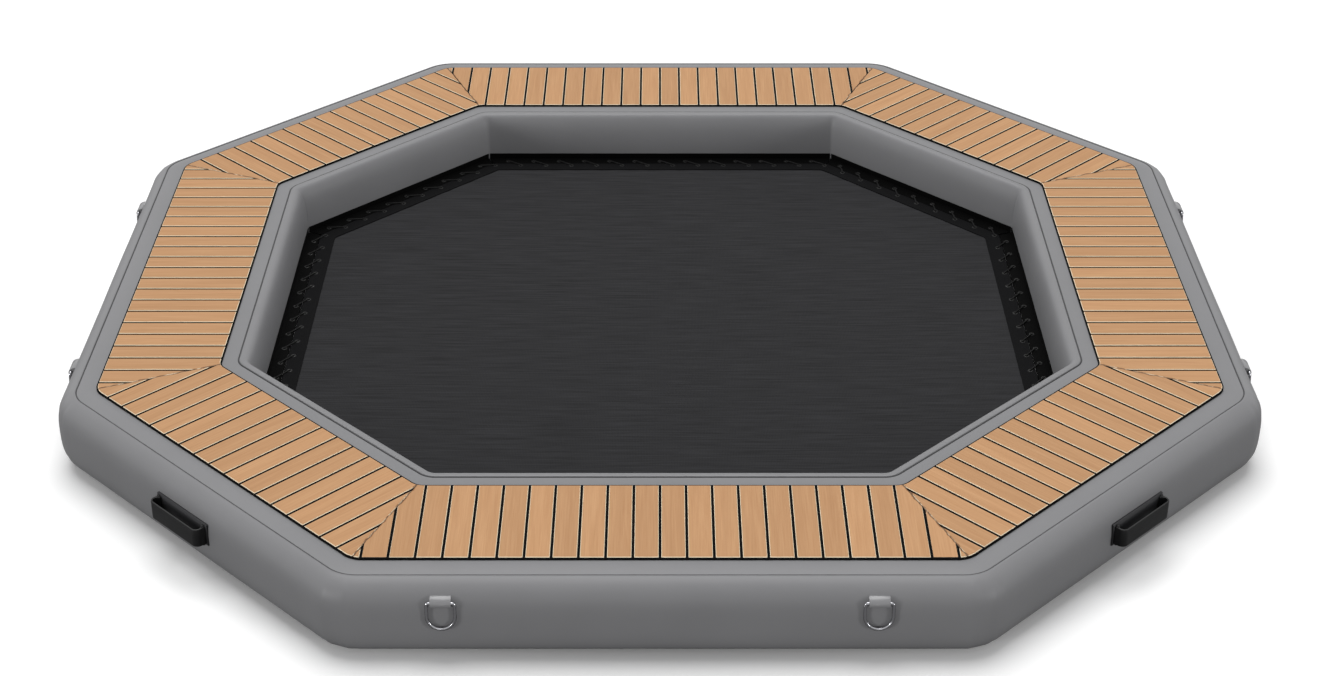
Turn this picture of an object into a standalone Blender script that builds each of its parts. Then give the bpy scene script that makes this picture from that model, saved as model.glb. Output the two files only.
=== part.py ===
"""Eight-sided inflatable dock platform: a drop-stitch ring with a grooved foam deck, a laced mesh
floor, D-rings, carry handles and an inflation valve. Metres, +Z up, origin on the floor at the
middle of the ring, front towards -Y."""

from collections import namedtuple
from math import atan2, cos, floor, pi, sin, tan

import bmesh
import bpy
from mathutils import Matrix, Vector

# Overall form, with half sizes from the middle of the ring to the walls
HALF_WIDTH = 1.524
HALF_DEPTH = 1.4745
HALF_ACROSS_CORNER_SIDES = 1.564
CORE_HEIGHT = 0.203
GAP = 0.0003
OVERRUN = 0.02

# Ring section, from the deck's edges outwards and inwards
OUTER_MARGIN = 0.052
OUTER_LAP = 0.010
OUTER_BULGE = 0.040
INNER_MARGIN = 0.042
INNER_LAP = 0.008
INNER_BULGE = 0.032
SKIN_THICKNESS = 0.0012
BULGE_POWER = 2.4
BULGE_STEPS = 8
OUTER_SEAM_RADIUS = 0.095
WELL_CORNER_RADIUS = 0.014
OUTER_CORNER_STEPS = 3
INNER_CORNER_STEPS = 2

# Deck pads
DECK_WIDTH = 0.297
DECK_OUTER_RADIUS = 0.060
DECK_INNER_RADIUS = 0.040
PAD_BASE = 0.002
PAD_HEIGHT = 0.006
PLANK_PITCH = 0.0612
GROOVE_WIDTH = 0.0055
BORDER_WIDTH = 0.005
PAD_JOINT = 0.0006
PLANK_JOINT = 0.0016

# Mesh floor and its lacing
FLOOR_HEIGHT = 0.066
MESH_THICKNESS = 0.0012
STRIP_THICKNESS = 0.002
FLAP_WIDTH = 0.034
FLAP_LEG = 0.016
FLAP_END_CLEARANCE = 0.0075
LACING_SPAN = 0.008
HEM_WIDTH = 0.040
HEM_CORNER_RADIUS = 0.018
MESH_UNDER_HEM = 0.018
EYELET_SIZE = 0.009
EYELET_INSET = 0.011
LACING_PITCH = 0.077
LACE_RADIUS = 0.002
LACE_TAIL = 0.012

# D-rings and their keepers
RING_WIRE_RADIUS = 0.00375
RING_HALF_WIDTH = 0.03175
RING_REACH = 0.0675
RING_CORNER_RADIUS = 0.006
RING_DROP = 0.045
RING_PLACE_SHARE = 0.702
RING_CLEARANCE = 0.0004
KEEPER_HALF_LENGTH = 0.0238
KEEPER_HALF_HEIGHT = 0.012
KEEPER_STRAP = 0.0016

# Carry handles
HANDLE_LENGTH = 0.190
HANDLE_HEIGHT = 0.048
HANDLE_CENTRE_HEIGHT = 0.121
HANDLE_STANDOFF = 0.033
HANDLE_STRAP = 0.0045
HANDLE_CORNER_RADIUS = 0.016
HANDLE_FOOT_LENGTH = 0.012
HANDLE_FOOT_DEPTH = 0.008
HANDLE_PIN_RADIUS = 0.0035
HANDLE_PIN_HEIGHT = 0.004
BACKING_THICKNESS = 0.003
BACKING_MARGIN = 0.005

# Inflation valve
VALVE_TUBE_RADIUS = 0.022
VALVE_TUBE_BORE = 0.018
VALVE_DEPTH = 0.027
VALVE_FLANGE_RADIUS = 0.029
VALVE_FLANGE = 0.0025
VALVE_SEAT_BORE = 0.0135
VALVE_SEAT = 0.003
VALVE_NUT_RADIUS = 0.028
VALVE_NUT_HEIGHT = 0.005
VALVE_NUT_DROP = 0.0015
SPIDER_DEPTH = 0.020
SPIDER_THICKNESS = 0.003
SPIDER_VENT_RADIUS = 0.0042
SPIDER_VENT_PLACE = 0.0105
STEM_RADIUS = 0.003
STEM_CLEARANCE = 0.0004
BUTTON_RADIUS = 0.008
BUTTON_HEIGHT = 0.003
BUTTON_DROP = 0.0005
SEAL_BORE = 0.0125
SEAL_RADIUS = 0.0165
SEAL_HEIGHT = 0.0015
DISC_RADIUS = 0.017
DISC_HEIGHT = 0.0025
SPRING_RADIUS = 0.0055
SPRING_WIRE_RADIUS = 0.0006
SPRING_TURNS = 5
CAP_RADIUS = 0.024
CAP_PLATE = 0.0025
CAP_PLUG_RADIUS = 0.0174
CAP_PLUG_BORE = 0.015
CAP_PLUG_DEPTH = 0.004
CAP_STUD_RADIUS = 0.003
CAP_STUD_HEAD_RADIUS = 0.005
CAP_STUD_HEAD = 0.0012
TETHER_WIDTH = 0.012
TETHER_THICKNESS = 0.0013
TETHER_EYE_RADIUS = 0.008
TETHER_ROOT = 0.003
TETHER_EDGE = 0.0005

# Smoothness of round pieces
TURN_STEPS = 16
ROUND_STEPS = 8
SMOOTH_ANGLE = pi / 5
FLAT_ANGLE = pi / 1800

# Heights of the stacked sheets, from the floor up
BOTTOM_SKIN_LOW = SKIN_THICKNESS + GAP
CORE_LOW = BOTTOM_SKIN_LOW + SKIN_THICKNESS + GAP
CORE_HIGH = CORE_LOW + CORE_HEIGHT
TOP_SKIN_LOW = CORE_HIGH + GAP
TOP_SKIN_HIGH = TOP_SKIN_LOW + SKIN_THICKNESS
RING_HEIGHT = TOP_SKIN_HIGH + GAP + SKIN_THICKNESS
RING_MIDDLE = RING_HEIGHT / 2
DECK_LOW = TOP_SKIN_HIGH + GAP

# Offsets from the deck's outer edge line, positive outwards
OUTER_SEAM = OUTER_MARGIN
OUTER_TANGENT = OUTER_SEAM + OUTER_LAP
OUTER_FACE = OUTER_TANGENT + OUTER_BULGE
DECK_INNER = -DECK_WIDTH
INNER_SEAM = DECK_INNER - INNER_MARGIN
INNER_TANGENT = INNER_SEAM - INNER_LAP
INNER_FACE = INNER_TANGENT - INNER_BULGE
FLAP_OUTER = INNER_FACE - GAP
FLAP_INNER = FLAP_OUTER - FLAP_WIDTH
HEM_OUTER = FLAP_INNER - LACING_SPAN
HEM_INNER = HEM_OUTER - HEM_WIDTH
MESH_EDGE = HEM_INNER + MESH_UNDER_HEM
FLAP_EYELET_LINE = FLAP_INNER + EYELET_INSET
HEM_EYELET_LINE = HEM_OUTER - EYELET_INSET

HALF_TURN = pi / 8
MITRE_SLOPE = tan(HALF_TURN)

Side = namedtuple("Side", "name normal tangent middle half")

# Colours are linear, with roughness and metallic value
FINISHES = {
    "grey_pvc": ((0.17, 0.17, 0.175), 0.45, 0.0),
    "dark_core": ((0.45, 0.45, 0.45), 0.9, 0.0),
    "teak_foam": ((0.57, 0.33, 0.16), 0.8, 0.0),
    "black_mesh": ((0.03, 0.03, 0.032), 0.85, 0.0),
    "black_webbing": ((0.012, 0.012, 0.012), 0.8, 0.0),
    "stainless": ((0.6, 0.6, 0.6), 0.22, 1.0),
    "black_rubber": ((0.01, 0.01, 0.01), 0.5, 0.0),
    "dark_backing": ((0.045, 0.045, 0.047), 0.6, 0.0),
    "valve_plastic": ((0.03, 0.03, 0.03), 0.4, 0.0),
}


# Scene, collections and materials


def clear_scene():
    for item in list(bpy.data.objects):
        bpy.data.objects.remove(item)


def make_collection(name):
    collection = bpy.data.collections.new(name)
    bpy.context.scene.collection.children.link(collection)
    return collection


def make_material(name, colour, roughness, metallic):
    material = bpy.data.materials.new(name)
    material.use_nodes = True
    shader = material.node_tree.nodes["Principled BSDF"]
    shader.inputs["Base Color"].default_value = (*colour, 1.0)
    shader.inputs["Roughness"].default_value = roughness
    shader.inputs["Metallic"].default_value = metallic
    return material


def finish(item, material_name):
    """Gives a finished piece its own copy of the material and its smooth shading."""
    colour, roughness, metallic = FINISHES[material_name]
    item.data.materials.clear()
    item.data.materials.append(make_material(item.name, colour, roughness, metallic))
    item.data.shade_smooth()
    item.data.set_sharp_from_angle(angle=SMOOTH_ANGLE)
    return item


# Solids from curves, profiles and booleans


def new_curve(name, loops, dimensions="2D", cyclic=True):
    data = bpy.data.curves.new(name, "CURVE")
    data.dimensions = dimensions
    for loop in loops:
        spline = data.splines.new("POLY")
        spline.points.add(len(loop) - 1)
        for point, place in zip(spline.points, loop):
            point.co = (*place, 1.0) if len(place) == 3 else (*place, 0.0, 1.0)
        spline.use_cyclic_u = cyclic
    item = bpy.data.objects.new(name, data)
    PARTS.objects.link(item)
    return item


def to_solid(curve, guides=()):
    """Turns a curve object into a welded mesh object of the same name, place and rotation."""
    bpy.context.view_layer.update()
    evaluated = curve.evaluated_get(bpy.context.evaluated_depsgraph_get())
    mesh = bpy.data.meshes.new_from_object(evaluated)
    name = curve.name
    matrix = curve.matrix_world.copy()
    for item in (curve, *guides):
        bpy.data.objects.remove(item)
    shape = bmesh.new()
    shape.from_mesh(mesh)
    bmesh.ops.remove_doubles(shape, verts=shape.verts, dist=GAP / 10)
    bmesh.ops.recalc_face_normals(shape, faces=shape.faces)
    bmesh.ops.dissolve_limit(shape, angle_limit=FLAT_ANGLE, verts=shape.verts, edges=shape.edges)
    shape.to_mesh(mesh)
    shape.free()
    mesh.name = name
    solid = bpy.data.objects.new(name, mesh)
    solid.matrix_world = matrix
    PARTS.objects.link(solid)
    return solid


def flat_solid(name, loops, thickness, matrix):
    """A flat outline with holes, thickened both ways from its plane."""
    curve = new_curve(name, loops)
    curve.data.fill_mode = "BOTH"
    curve.data.extrude = thickness / 2
    curve.matrix_world = matrix
    return to_solid(curve)


def sheet_solid(name, loops, low, high):
    return flat_solid(name, loops, high - low, Matrix.Translation((0, 0, (low + high) / 2)))


def swept_solid(name, path, section):
    """A closed section, given as (outwards, up), swept round a closed flat path."""
    guide = new_curve(name + "_section", [[(-outwards, up) for outwards, up in section]])
    curve = new_curve(name, [path])
    curve.data.bevel_mode = "OBJECT"
    curve.data.bevel_object = guide
    return to_solid(curve, guides=[guide])


def wire_solid(name, points, radius, matrix, cyclic=False):
    curve = new_curve(name, [points], dimensions="3D", cyclic=cyclic)
    curve.data.bevel_depth = radius
    curve.data.bevel_resolution = 1
    curve.data.use_fill_caps = True
    curve.matrix_world = matrix
    return to_solid(curve)


def turned_solid(name, profile, matrix, closed):
    """A profile of (radius, height) turned about the local Z axis, outer side from top to bottom."""
    mesh = bpy.data.meshes.new(name)
    count = len(profile)
    edges = [(i, (i + 1) % count) for i in range(count if closed else count - 1)]
    mesh.from_pydata([(radius, 0, height) for radius, height in profile], edges, [])
    item = bpy.data.objects.new(name, mesh)
    PARTS.objects.link(item)
    item.matrix_world = matrix
    screw = item.modifiers.new("turn", "SCREW")
    screw.steps = TURN_STEPS
    screw.render_steps = TURN_STEPS
    screw.use_merge_vertices = True
    screw.merge_threshold = GAP / 10
    screw.use_smooth_shade = True
    return item


def as_cutter(item):
    PARTS.objects.unlink(item)
    CUTTERS.objects.link(item)
    item.hide_render = True
    item.display_type = "WIRE"
    return item


def combine(item, other, operation):
    modifier = item.modifiers.new(other.name, "BOOLEAN")
    modifier.operation = operation
    modifier.solver = "EXACT"
    modifier.object = as_cutter(other)
    return item


def boxes(name, places, size, matrix):
    """One mesh of equal boxes of the given size, centred on the given places."""
    shape = bmesh.new()
    for place in places:
        made = bmesh.ops.create_cube(shape, size=1.0)
        bmesh.ops.scale(shape, vec=size, verts=made["verts"])
        bmesh.ops.translate(shape, vec=place, verts=made["verts"])
    mesh = bpy.data.meshes.new(name)
    shape.to_mesh(mesh)
    shape.free()
    item = bpy.data.objects.new(name, mesh)
    item.matrix_world = matrix
    PARTS.objects.link(item)
    return item


def circle(radius, steps, centre=(0, 0)):
    """Points round a circle, pushed out so that the flats between them lie at the radius."""
    reach = radius / cos(pi / steps)
    return [
        (centre[0] + reach * cos(2 * pi * k / steps), centre[1] + reach * sin(2 * pi * k / steps))
        for k in range(steps)
    ]


# The octagon: eight sides, each with its own frame


def make_sides():
    names = ["front", "front_right", "right", "back_right", "back", "back_left", "left", "front_left"]
    halves = [HALF_DEPTH, HALF_ACROSS_CORNER_SIDES, HALF_WIDTH, HALF_ACROSS_CORNER_SIDES] * 2
    reaches = [half - OUTER_FACE for half in halves]
    turn = pi / 4
    sides = []
    for i, name in enumerate(names):
        angle = (i - 2) * turn
        normal = Vector((cos(angle), sin(angle)))
        tangent = Vector((-sin(angle), cos(angle)))
        reach = reaches[i]
        ahead = (reaches[(i + 1) % len(names)] - reach * cos(turn)) / sin(turn)
        behind = (reaches[i - 1] - reach * cos(turn)) / sin(turn)
        middle = normal * reach + tangent * (ahead - behind) / 2
        sides.append(Side(name, normal, tangent, middle, (ahead + behind) / 2))
    return sides


def on_side(side, along, offset):
    return side.middle + side.tangent * along + side.normal * offset


def half_length(side, offset):
    return side.half + offset * MITRE_SLOPE


def outline(offset, radius, steps):
    """The octagon at an offset from the deck's edge, with its corners rounded."""
    points = []
    for side in SIDES:
        along = half_length(side, offset) - radius * MITRE_SLOPE
        for k in range(steps + 1):
            angle = k * 2 * HALF_TURN / steps
            place = on_side(side, along + radius * sin(angle), offset - radius + radius * cos(angle))
            points.append(tuple(place))
    return points


def standing(side, along, offset, height):
    """Local X along the side (clockwise seen from above), Y outwards, Z up."""
    return frame_matrix(side, along, offset, height, -side.tangent.to_3d(), side.normal.to_3d())


def sectioning(side, along, offset, height):
    """Local X outwards, Y up, Z along the side: the frame of an extruded section."""
    return frame_matrix(side, along, offset, height, side.normal.to_3d(), Vector((0, 0, 1)))


def facing(side, along, offset, height):
    """Local X along the side (anticlockwise), Y up, Z outwards: the frame of a turned piece."""
    return frame_matrix(side, along, offset, height, side.tangent.to_3d(), Vector((0, 0, 1)))


def frame_matrix(side, along, offset, height, x_axis, y_axis):
    z_axis = x_axis.cross(y_axis)
    place = on_side(side, along, offset)
    matrix = Matrix((x_axis, y_axis, z_axis)).transposed().to_4x4()
    return Matrix.Translation((place.x, place.y, height)) @ matrix


# Drop-stitch ring: core, skins and the two bulged wall bands


def bulge(height, depth, thickness=0.0):
    """How far a wall band stands out from its tangent line at a height."""
    half = RING_MIDDLE - thickness
    share = min(abs(height - RING_MIDDLE) / half, 1.0)
    return (depth - thickness) * (1 - share**BULGE_POWER) ** (1 / BULGE_POWER)


def wall_face(height):
    """Offset of the outer wall's outside at a height."""
    return OUTER_TANGENT + bulge(height, OUTER_BULGE)


def band_section(lap, depth):
    """Clockwise section of a wall band, from the lap's edge at zero, outwards over the bulge."""

    def half_section(thickness):
        half = RING_MIDDLE - thickness
        points = [(0, RING_MIDDLE + half)]
        for k in range(BULGE_STEPS + 1):
            angle = pi / 2 - k * pi / BULGE_STEPS
            rise = abs(sin(angle)) ** (2 / BULGE_POWER) * (1 if angle > 0 else -1)
            height = RING_MIDDLE + half * rise
            points.append((lap + bulge(height, depth, thickness), height))
        points.append((0, RING_MIDDLE - half))
        return points

    return half_section(0) + half_section(SKIN_THICKNESS)[::-1]


def well_face(height):
    """Offset of the inner wall's face at a height, measured on the facets of its section."""
    facets = band_section(INNER_LAP, INNER_BULGE)[1 : BULGE_STEPS + 2]
    for (along, high), (next_along, low) in zip(facets, facets[1:]):
        if low <= height <= high:
            share = (high - height) / (high - low)
            return INNER_SEAM - along - (next_along - along) * share
    return INNER_TANGENT


def make_ring():
    outer_edge = outline(OUTER_TANGENT - GAP, OUTER_SEAM_RADIUS, OUTER_CORNER_STEPS)
    inner_radius = WELL_CORNER_RADIUS + INNER_BULGE
    inner_edge = outline(INNER_TANGENT + GAP, inner_radius, INNER_CORNER_STEPS)
    loops = [outer_edge, inner_edge]
    core = sheet_solid("drop_stitch_core", loops, CORE_LOW, CORE_HIGH)
    finish(core, "dark_core")
    bottom = sheet_solid("bottom_skin", loops, BOTTOM_SKIN_LOW, BOTTOM_SKIN_LOW + SKIN_THICKNESS)
    finish(bottom, "grey_pvc")
    top = sheet_solid("top_skin", loops, TOP_SKIN_LOW, TOP_SKIN_HIGH)
    finish(top, "grey_pvc")

    outer_path = outline(OUTER_SEAM, OUTER_SEAM_RADIUS, OUTER_CORNER_STEPS)
    outer_wall = swept_solid("outer_wall", outer_path, band_section(OUTER_LAP, OUTER_BULGE))
    hole_loop = circle(VALVE_TUBE_RADIUS + GAP, TURN_STEPS)
    hole = flat_solid("valve_hole", [hole_loop], OUTER_BULGE, valve_frame())
    combine(outer_wall, hole, "DIFFERENCE")
    finish(outer_wall, "grey_pvc")

    inner_path = outline(INNER_FACE, WELL_CORNER_RADIUS, INNER_CORNER_STEPS)
    band = band_section(INNER_LAP, INNER_BULGE)
    width = INNER_LAP + INNER_BULGE
    section = [(width - along, height) for along, height in band][::-1]
    inner_wall = swept_solid("inner_wall", inner_path, section)
    finish(inner_wall, "grey_pvc")


# Deck: eight grooved pads, mitred at the corners


def pad_outline(side, joint, inset):
    """One pad's outline, with its outer and inner edges set in, and a joint at the mitres."""
    half_joint = joint / 2 / cos(HALF_TURN)
    edges = [(-inset, DECK_OUTER_RADIUS - inset), (DECK_INNER + inset, DECK_INNER_RADIUS + inset)]
    quarter = []
    for reverse, (offset, radius) in enumerate(edges):
        along = half_length(side, offset) - radius * MITRE_SLOPE - half_joint
        arc = []
        for angle in (0, HALF_TURN / 2, HALF_TURN):
            arc.append((along + radius * sin(angle), offset - radius + radius * cos(angle)))
        quarter += arc[::-1] if reverse else arc
    mirrored = [(-along, offset) for along, offset in quarter[::-1]]
    return [tuple(on_side(side, along, offset)) for along, offset in quarter + mirrored]


def groove_places(side):
    """Middle lines of the grooves: one on the centre of a main side, a plank there on a corner side."""
    steps = side.half / PLANK_PITCH
    if "_" in side.name:
        count = floor(steps + 1 / 2)
        return [(k + 1 / 2) * PLANK_PITCH for k in range(-count, count)]
    count = floor(steps)
    return [k * PLANK_PITCH for k in range(-count, count + 1)]


def make_deck():
    plank_low = DECK_LOW + PAD_BASE / 2
    for side in SIDES:
        name = "deck_pad_" + side.name
        base_loop = pad_outline(side, PAD_JOINT, 0)
        base = sheet_solid(name, [base_loop], DECK_LOW, DECK_LOW + PAD_BASE)
        plank_loop = pad_outline(side, PLANK_JOINT, BORDER_WIDTH)
        planks = sheet_solid(name + "_planks", [plank_loop], plank_low, DECK_LOW + PAD_HEIGHT)
        places = [(along, DECK_INNER / 2, 0) for along in groove_places(side)]
        size = (GROOVE_WIDTH, DECK_WIDTH + OVERRUN, PAD_HEIGHT * 3)
        grooves = boxes(name + "_grooves", places, size, standing(side, 0, 0, DECK_LOW))
        combine(planks, grooves, "DIFFERENCE")
        combine(base, planks, "UNION")
        finish(base, "teak_foam")


# Mesh floor, hem, flaps and the lacing cord between their eyelets


def lacing_count(side):
    return max(2, round(2 * half_length(side, HEM_EYELET_LINE) / LACING_PITCH))


def flap_places(side):
    half = half_length(side, HEM_EYELET_LINE)
    count = lacing_count(side)
    return [-half + (k + 1 / 2) * 2 * half / count for k in range(count)]


def hem_places(side):
    """Eyelets from one corner to the next, the far corner's included."""
    half = half_length(side, HEM_EYELET_LINE)
    count = lacing_count(side)
    return [-half + k * 2 * half / count for k in range(1, count + 1)]


def eyelet(side, along, offset):
    half = EYELET_SIZE / 2
    corners = [(-half, -half), (half, -half), (half, half), (-half, half)]
    return [tuple(on_side(side, along + x, offset + y)) for x, y in corners]


def make_floor():
    hem_radius = HEM_CORNER_RADIUS
    loops = [outline(HEM_OUTER, hem_radius, 1), outline(HEM_INNER, hem_radius, 1)]
    for side in SIDES:
        loops += [eyelet(side, along, HEM_EYELET_LINE) for along in hem_places(side)]
    hem = sheet_solid("mesh_hem", loops, FLOOR_HEIGHT, FLOOR_HEIGHT + STRIP_THICKNESS)
    finish(hem, "black_webbing")
    mesh_high = FLOOR_HEIGHT - GAP
    mesh_loops = [outline(MESH_EDGE, hem_radius, 1)]
    mesh = sheet_solid("mesh_panel", mesh_loops, mesh_high - MESH_THICKNESS, mesh_high)
    finish(mesh, "black_mesh")


def make_flaps():
    """An angle strip on each side: its upright leg is welded to the wall, its flat leg is laced."""
    strip = STRIP_THICKNESS
    leg_high = strip + FLAP_LEG
    outer, bend, top = [well_face(FLOOR_HEIGHT + rise) - INNER_FACE for rise in (0, strip, leg_high)]
    section = [(outer, 0), (-FLAP_WIDTH, 0), (-FLAP_WIDTH, strip), (bend - strip, strip)]
    section += [(top - strip, leg_high), (top, leg_high)]
    for side in SIDES:
        frame = sectioning(side, 0, FLAP_OUTER, FLOOR_HEIGHT)
        length = 2 * half_length(side, FLAP_OUTER)
        flap = flat_solid("lacing_flap_" + side.name, [section], length, frame)
        far = FLAP_OUTER + OVERRUN
        near = FLAP_INNER - OVERRUN
        reaches = [half_length(side, offset) - FLAP_END_CLEARANCE for offset in (far, near)]
        corners = [(-reaches[0], far), (-reaches[1], near), (reaches[1], near), (reaches[0], far)]
        loop = [tuple(on_side(side, along, offset)) for along, offset in corners]
        low = FLOOR_HEIGHT - OVERRUN
        mitred = sheet_solid(flap.name + "_mitre", [loop], low, FLOOR_HEIGHT + leg_high + OVERRUN)
        combine(flap, mitred, "INTERSECT")
        reach = FLAP_EYELET_LINE - FLAP_OUTER
        places = [(reach, 0, -along) for along in flap_places(side)]
        size = (EYELET_SIZE, EYELET_SIZE, EYELET_SIZE)
        combine(flap, boxes(flap.name + "_eyelets", places, size, frame), "DIFFERENCE")
        finish(flap, "black_webbing")


def lacing_route():
    """Over the hem and flap from hem to flap, and under them on the way back, eyelet by eyelet."""
    over = FLOOR_HEIGHT + STRIP_THICKNESS + GAP + LACE_RADIUS
    under = FLOOR_HEIGHT - GAP - LACE_RADIUS
    first = SIDES[-1]
    corner = half_length(first, HEM_EYELET_LINE)
    start = on_side(first, corner, HEM_EYELET_LINE)
    tail = on_side(first, corner - LACE_TAIL, HEM_EYELET_LINE)
    route = [(*tail, under), (*start, under), (*start, over)]
    for side in SIDES:
        for flap_along, hem_along in zip(flap_places(side), hem_places(side)):
            flap_eye = on_side(side, flap_along, FLAP_EYELET_LINE)
            hem_eye = on_side(side, hem_along, HEM_EYELET_LINE)
            route += [(*flap_eye, over), (*flap_eye, under), (*hem_eye, under), (*hem_eye, over)]
    last_run = Vector(route[-3]) - Vector(route[-2])
    stop = Vector(route[-2]) + last_run.normalized() * EYELET_SIZE
    return route[:-2] + [tuple(stop)]


def make_lacing():
    cord = wire_solid("lacing_cord", lacing_route(), LACE_RADIUS, Matrix.Identity(4))
    finish(cord, "black_webbing")


# D-rings hanging in keepers on the four main sides


def keeper_base(height):
    """Straight line between the keeper's two edges, which lie on the wall."""
    low = wall_face(ring_axis_height() - KEEPER_HALF_HEIGHT) + GAP
    high = wall_face(ring_axis_height() + KEEPER_HALF_HEIGHT) + GAP
    share = (height - ring_axis_height() + KEEPER_HALF_HEIGHT) / (2 * KEEPER_HALF_HEIGHT)
    return low + (high - low) * share


def ring_axis_height():
    return RING_HEIGHT - RING_DROP


def keeper_bore():
    return RING_WIRE_RADIUS + RING_CLEARANCE


def ring_axis_offset():
    return wall_face(ring_axis_height()) + GAP + KEEPER_STRAP + keeper_bore()


def ring_lean():
    """The least lean outwards at which a hanging ring clears the bulge below its keeper."""
    leans = []
    steps = 2 * BULGE_STEPS
    for k in range(1, steps + 1):
        drop = RING_REACH * k / steps
        clear = wall_face(ring_axis_height() - drop) + RING_WIRE_RADIUS + RING_CLEARANCE
        leans.append(atan2(clear - ring_axis_offset(), drop))
    return max(leans)


def ring_points():
    """Bar along local X at the top, straight legs, and a half circle at the bottom."""
    points = []
    corner = RING_CORNER_RADIUS
    inner = RING_HALF_WIDTH - corner
    leg = RING_HALF_WIDTH - RING_REACH
    for angle in (pi / 2, pi / 4, 0):
        points.append((inner + corner * cos(angle), 0, corner * sin(angle) - corner))
    for k in range(ROUND_STEPS + 1):
        angle = -k * pi / ROUND_STEPS
        points.append((RING_HALF_WIDTH * cos(angle), 0, leg + RING_HALF_WIDTH * sin(angle)))
    for angle in (pi, 3 * pi / 4, pi / 2):
        points.append((-inner + corner * cos(angle), 0, corner * sin(angle) - corner))
    return points


def keeper_section():
    """Strap folded round the bar: its back follows the wall, its front is a rounded hump."""
    middle = ring_axis_height()
    depth = ring_axis_offset() + keeper_bore() + KEEPER_STRAP - keeper_base(middle)
    points = []
    for k in range(-2, 3):
        height = middle + k * KEEPER_HALF_HEIGHT / 2
        points.append((wall_face(height) + GAP, height))
    for k in range(1, ROUND_STEPS):
        angle = pi / 2 - k * pi / ROUND_STEPS
        height = middle + KEEPER_HALF_HEIGHT * sin(angle)
        points.append((keeper_base(height) + depth * cos(angle), height))
    return [(offset - ring_axis_offset(), height - middle) for offset, height in points]


def make_rings():
    ends = {"front": ("left", "right"), "right": ("front", "back")}
    ends.update({"back": ("right", "left"), "left": ("back", "front")})
    for side in SIDES:
        if side.name not in ends:
            continue
        for sign, end in zip((-1, 1), ends[side.name]):
            place = (side, sign * RING_PLACE_SHARE * side.half, ring_axis_offset(), ring_axis_height())
            label = side.name + "_" + end
            loops = [keeper_section(), circle(keeper_bore(), ROUND_STEPS)]
            keeper = flat_solid("ring_keeper_" + label, loops, 2 * KEEPER_HALF_LENGTH, sectioning(*place))
            finish(keeper, "grey_pvc")
            hung = standing(*place) @ Matrix.Rotation(ring_lean(), 4, "X")
            ring = wire_solid("d_ring_" + label, ring_points(), RING_WIRE_RADIUS, hung, cyclic=True)
            finish(ring, "stainless")


# Carry handles on the four corner sides


def handle_outline():
    """Strap seen from above, as (along, outwards from the backing), with thick feet."""
    half = HANDLE_LENGTH / 2
    reach = HANDLE_STANDOFF - BACKING_THICKNESS - GAP
    radius = HANDLE_CORNER_RADIUS
    inner = radius - HANDLE_STRAP
    outside = [(half, GAP)]
    inside = [(half - HANDLE_FOOT_LENGTH, GAP), (half - HANDLE_FOOT_LENGTH, HANDLE_FOOT_DEPTH / 2)]
    inside.append((half - HANDLE_STRAP, HANDLE_FOOT_DEPTH + HANDLE_FOOT_DEPTH / 2))
    steps = ROUND_STEPS // 2
    for k in range(steps + 1):
        angle = k * pi / 2 / steps
        centre = (half - radius, reach - radius)
        outside.append((centre[0] + radius * cos(angle), centre[1] + radius * sin(angle)))
        inside.append((centre[0] + inner * cos(angle), centre[1] + inner * sin(angle)))
    return outside + left_of(outside) + left_of(inside)[::-1] + inside[::-1]


def left_of(points):
    return [(-along, out) for along, out in points[::-1]]


def backing_section():
    """Plate behind the strap: its back follows the wall, its front is upright."""
    half = HANDLE_HEIGHT / 2 + BACKING_MARGIN
    points = []
    for k in range(-2, 3):
        height = HANDLE_CENTRE_HEIGHT + k * half / 2
        points.append((wall_face(height) + GAP, height))
    front = OUTER_FACE + GAP + BACKING_THICKNESS
    points += [(front, HANDLE_CENTRE_HEIGHT + half), (front, HANDLE_CENTRE_HEIGHT - half)]
    return [(offset - OUTER_FACE, height - HANDLE_CENTRE_HEIGHT) for offset, height in points]


def make_handles():
    for side in SIDES:
        if "_" not in side.name:
            continue
        frame = sectioning(side, 0, OUTER_FACE, HANDLE_CENTRE_HEIGHT)
        length = HANDLE_LENGTH + 2 * BACKING_MARGIN
        backing = flat_solid("handle_backing_" + side.name, [backing_section()], length, frame)
        finish(backing, "dark_backing")
        seat = OUTER_FACE + GAP + BACKING_THICKNESS
        upright = standing(side, 0, seat, HANDLE_CENTRE_HEIGHT)
        handle = flat_solid("handle_" + side.name, [handle_outline()], HANDLE_HEIGHT, upright)
        pin_place = HANDLE_LENGTH / 2 - HANDLE_FOOT_LENGTH / 2
        pin_length = HANDLE_HEIGHT + 2 * HANDLE_PIN_HEIGHT
        for sign in (-1, 1):
            centre = (sign * pin_place, GAP + HANDLE_PIN_RADIUS + HANDLE_PIN_RADIUS / 8)
            loops = [circle(HANDLE_PIN_RADIUS, ROUND_STEPS, centre)]
            pin = flat_solid(f"{handle.name}_pin_{sign + 1}", loops, pin_length, upright)
            combine(handle, pin, "UNION")
        finish(handle, "black_rubber")


# Inflation valve in the middle of the back wall


def valve_frame():
    back = next(side for side in SIDES if side.name == "back")
    return facing(back, 0, wall_face(RING_MIDDLE), RING_MIDDLE)


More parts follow.
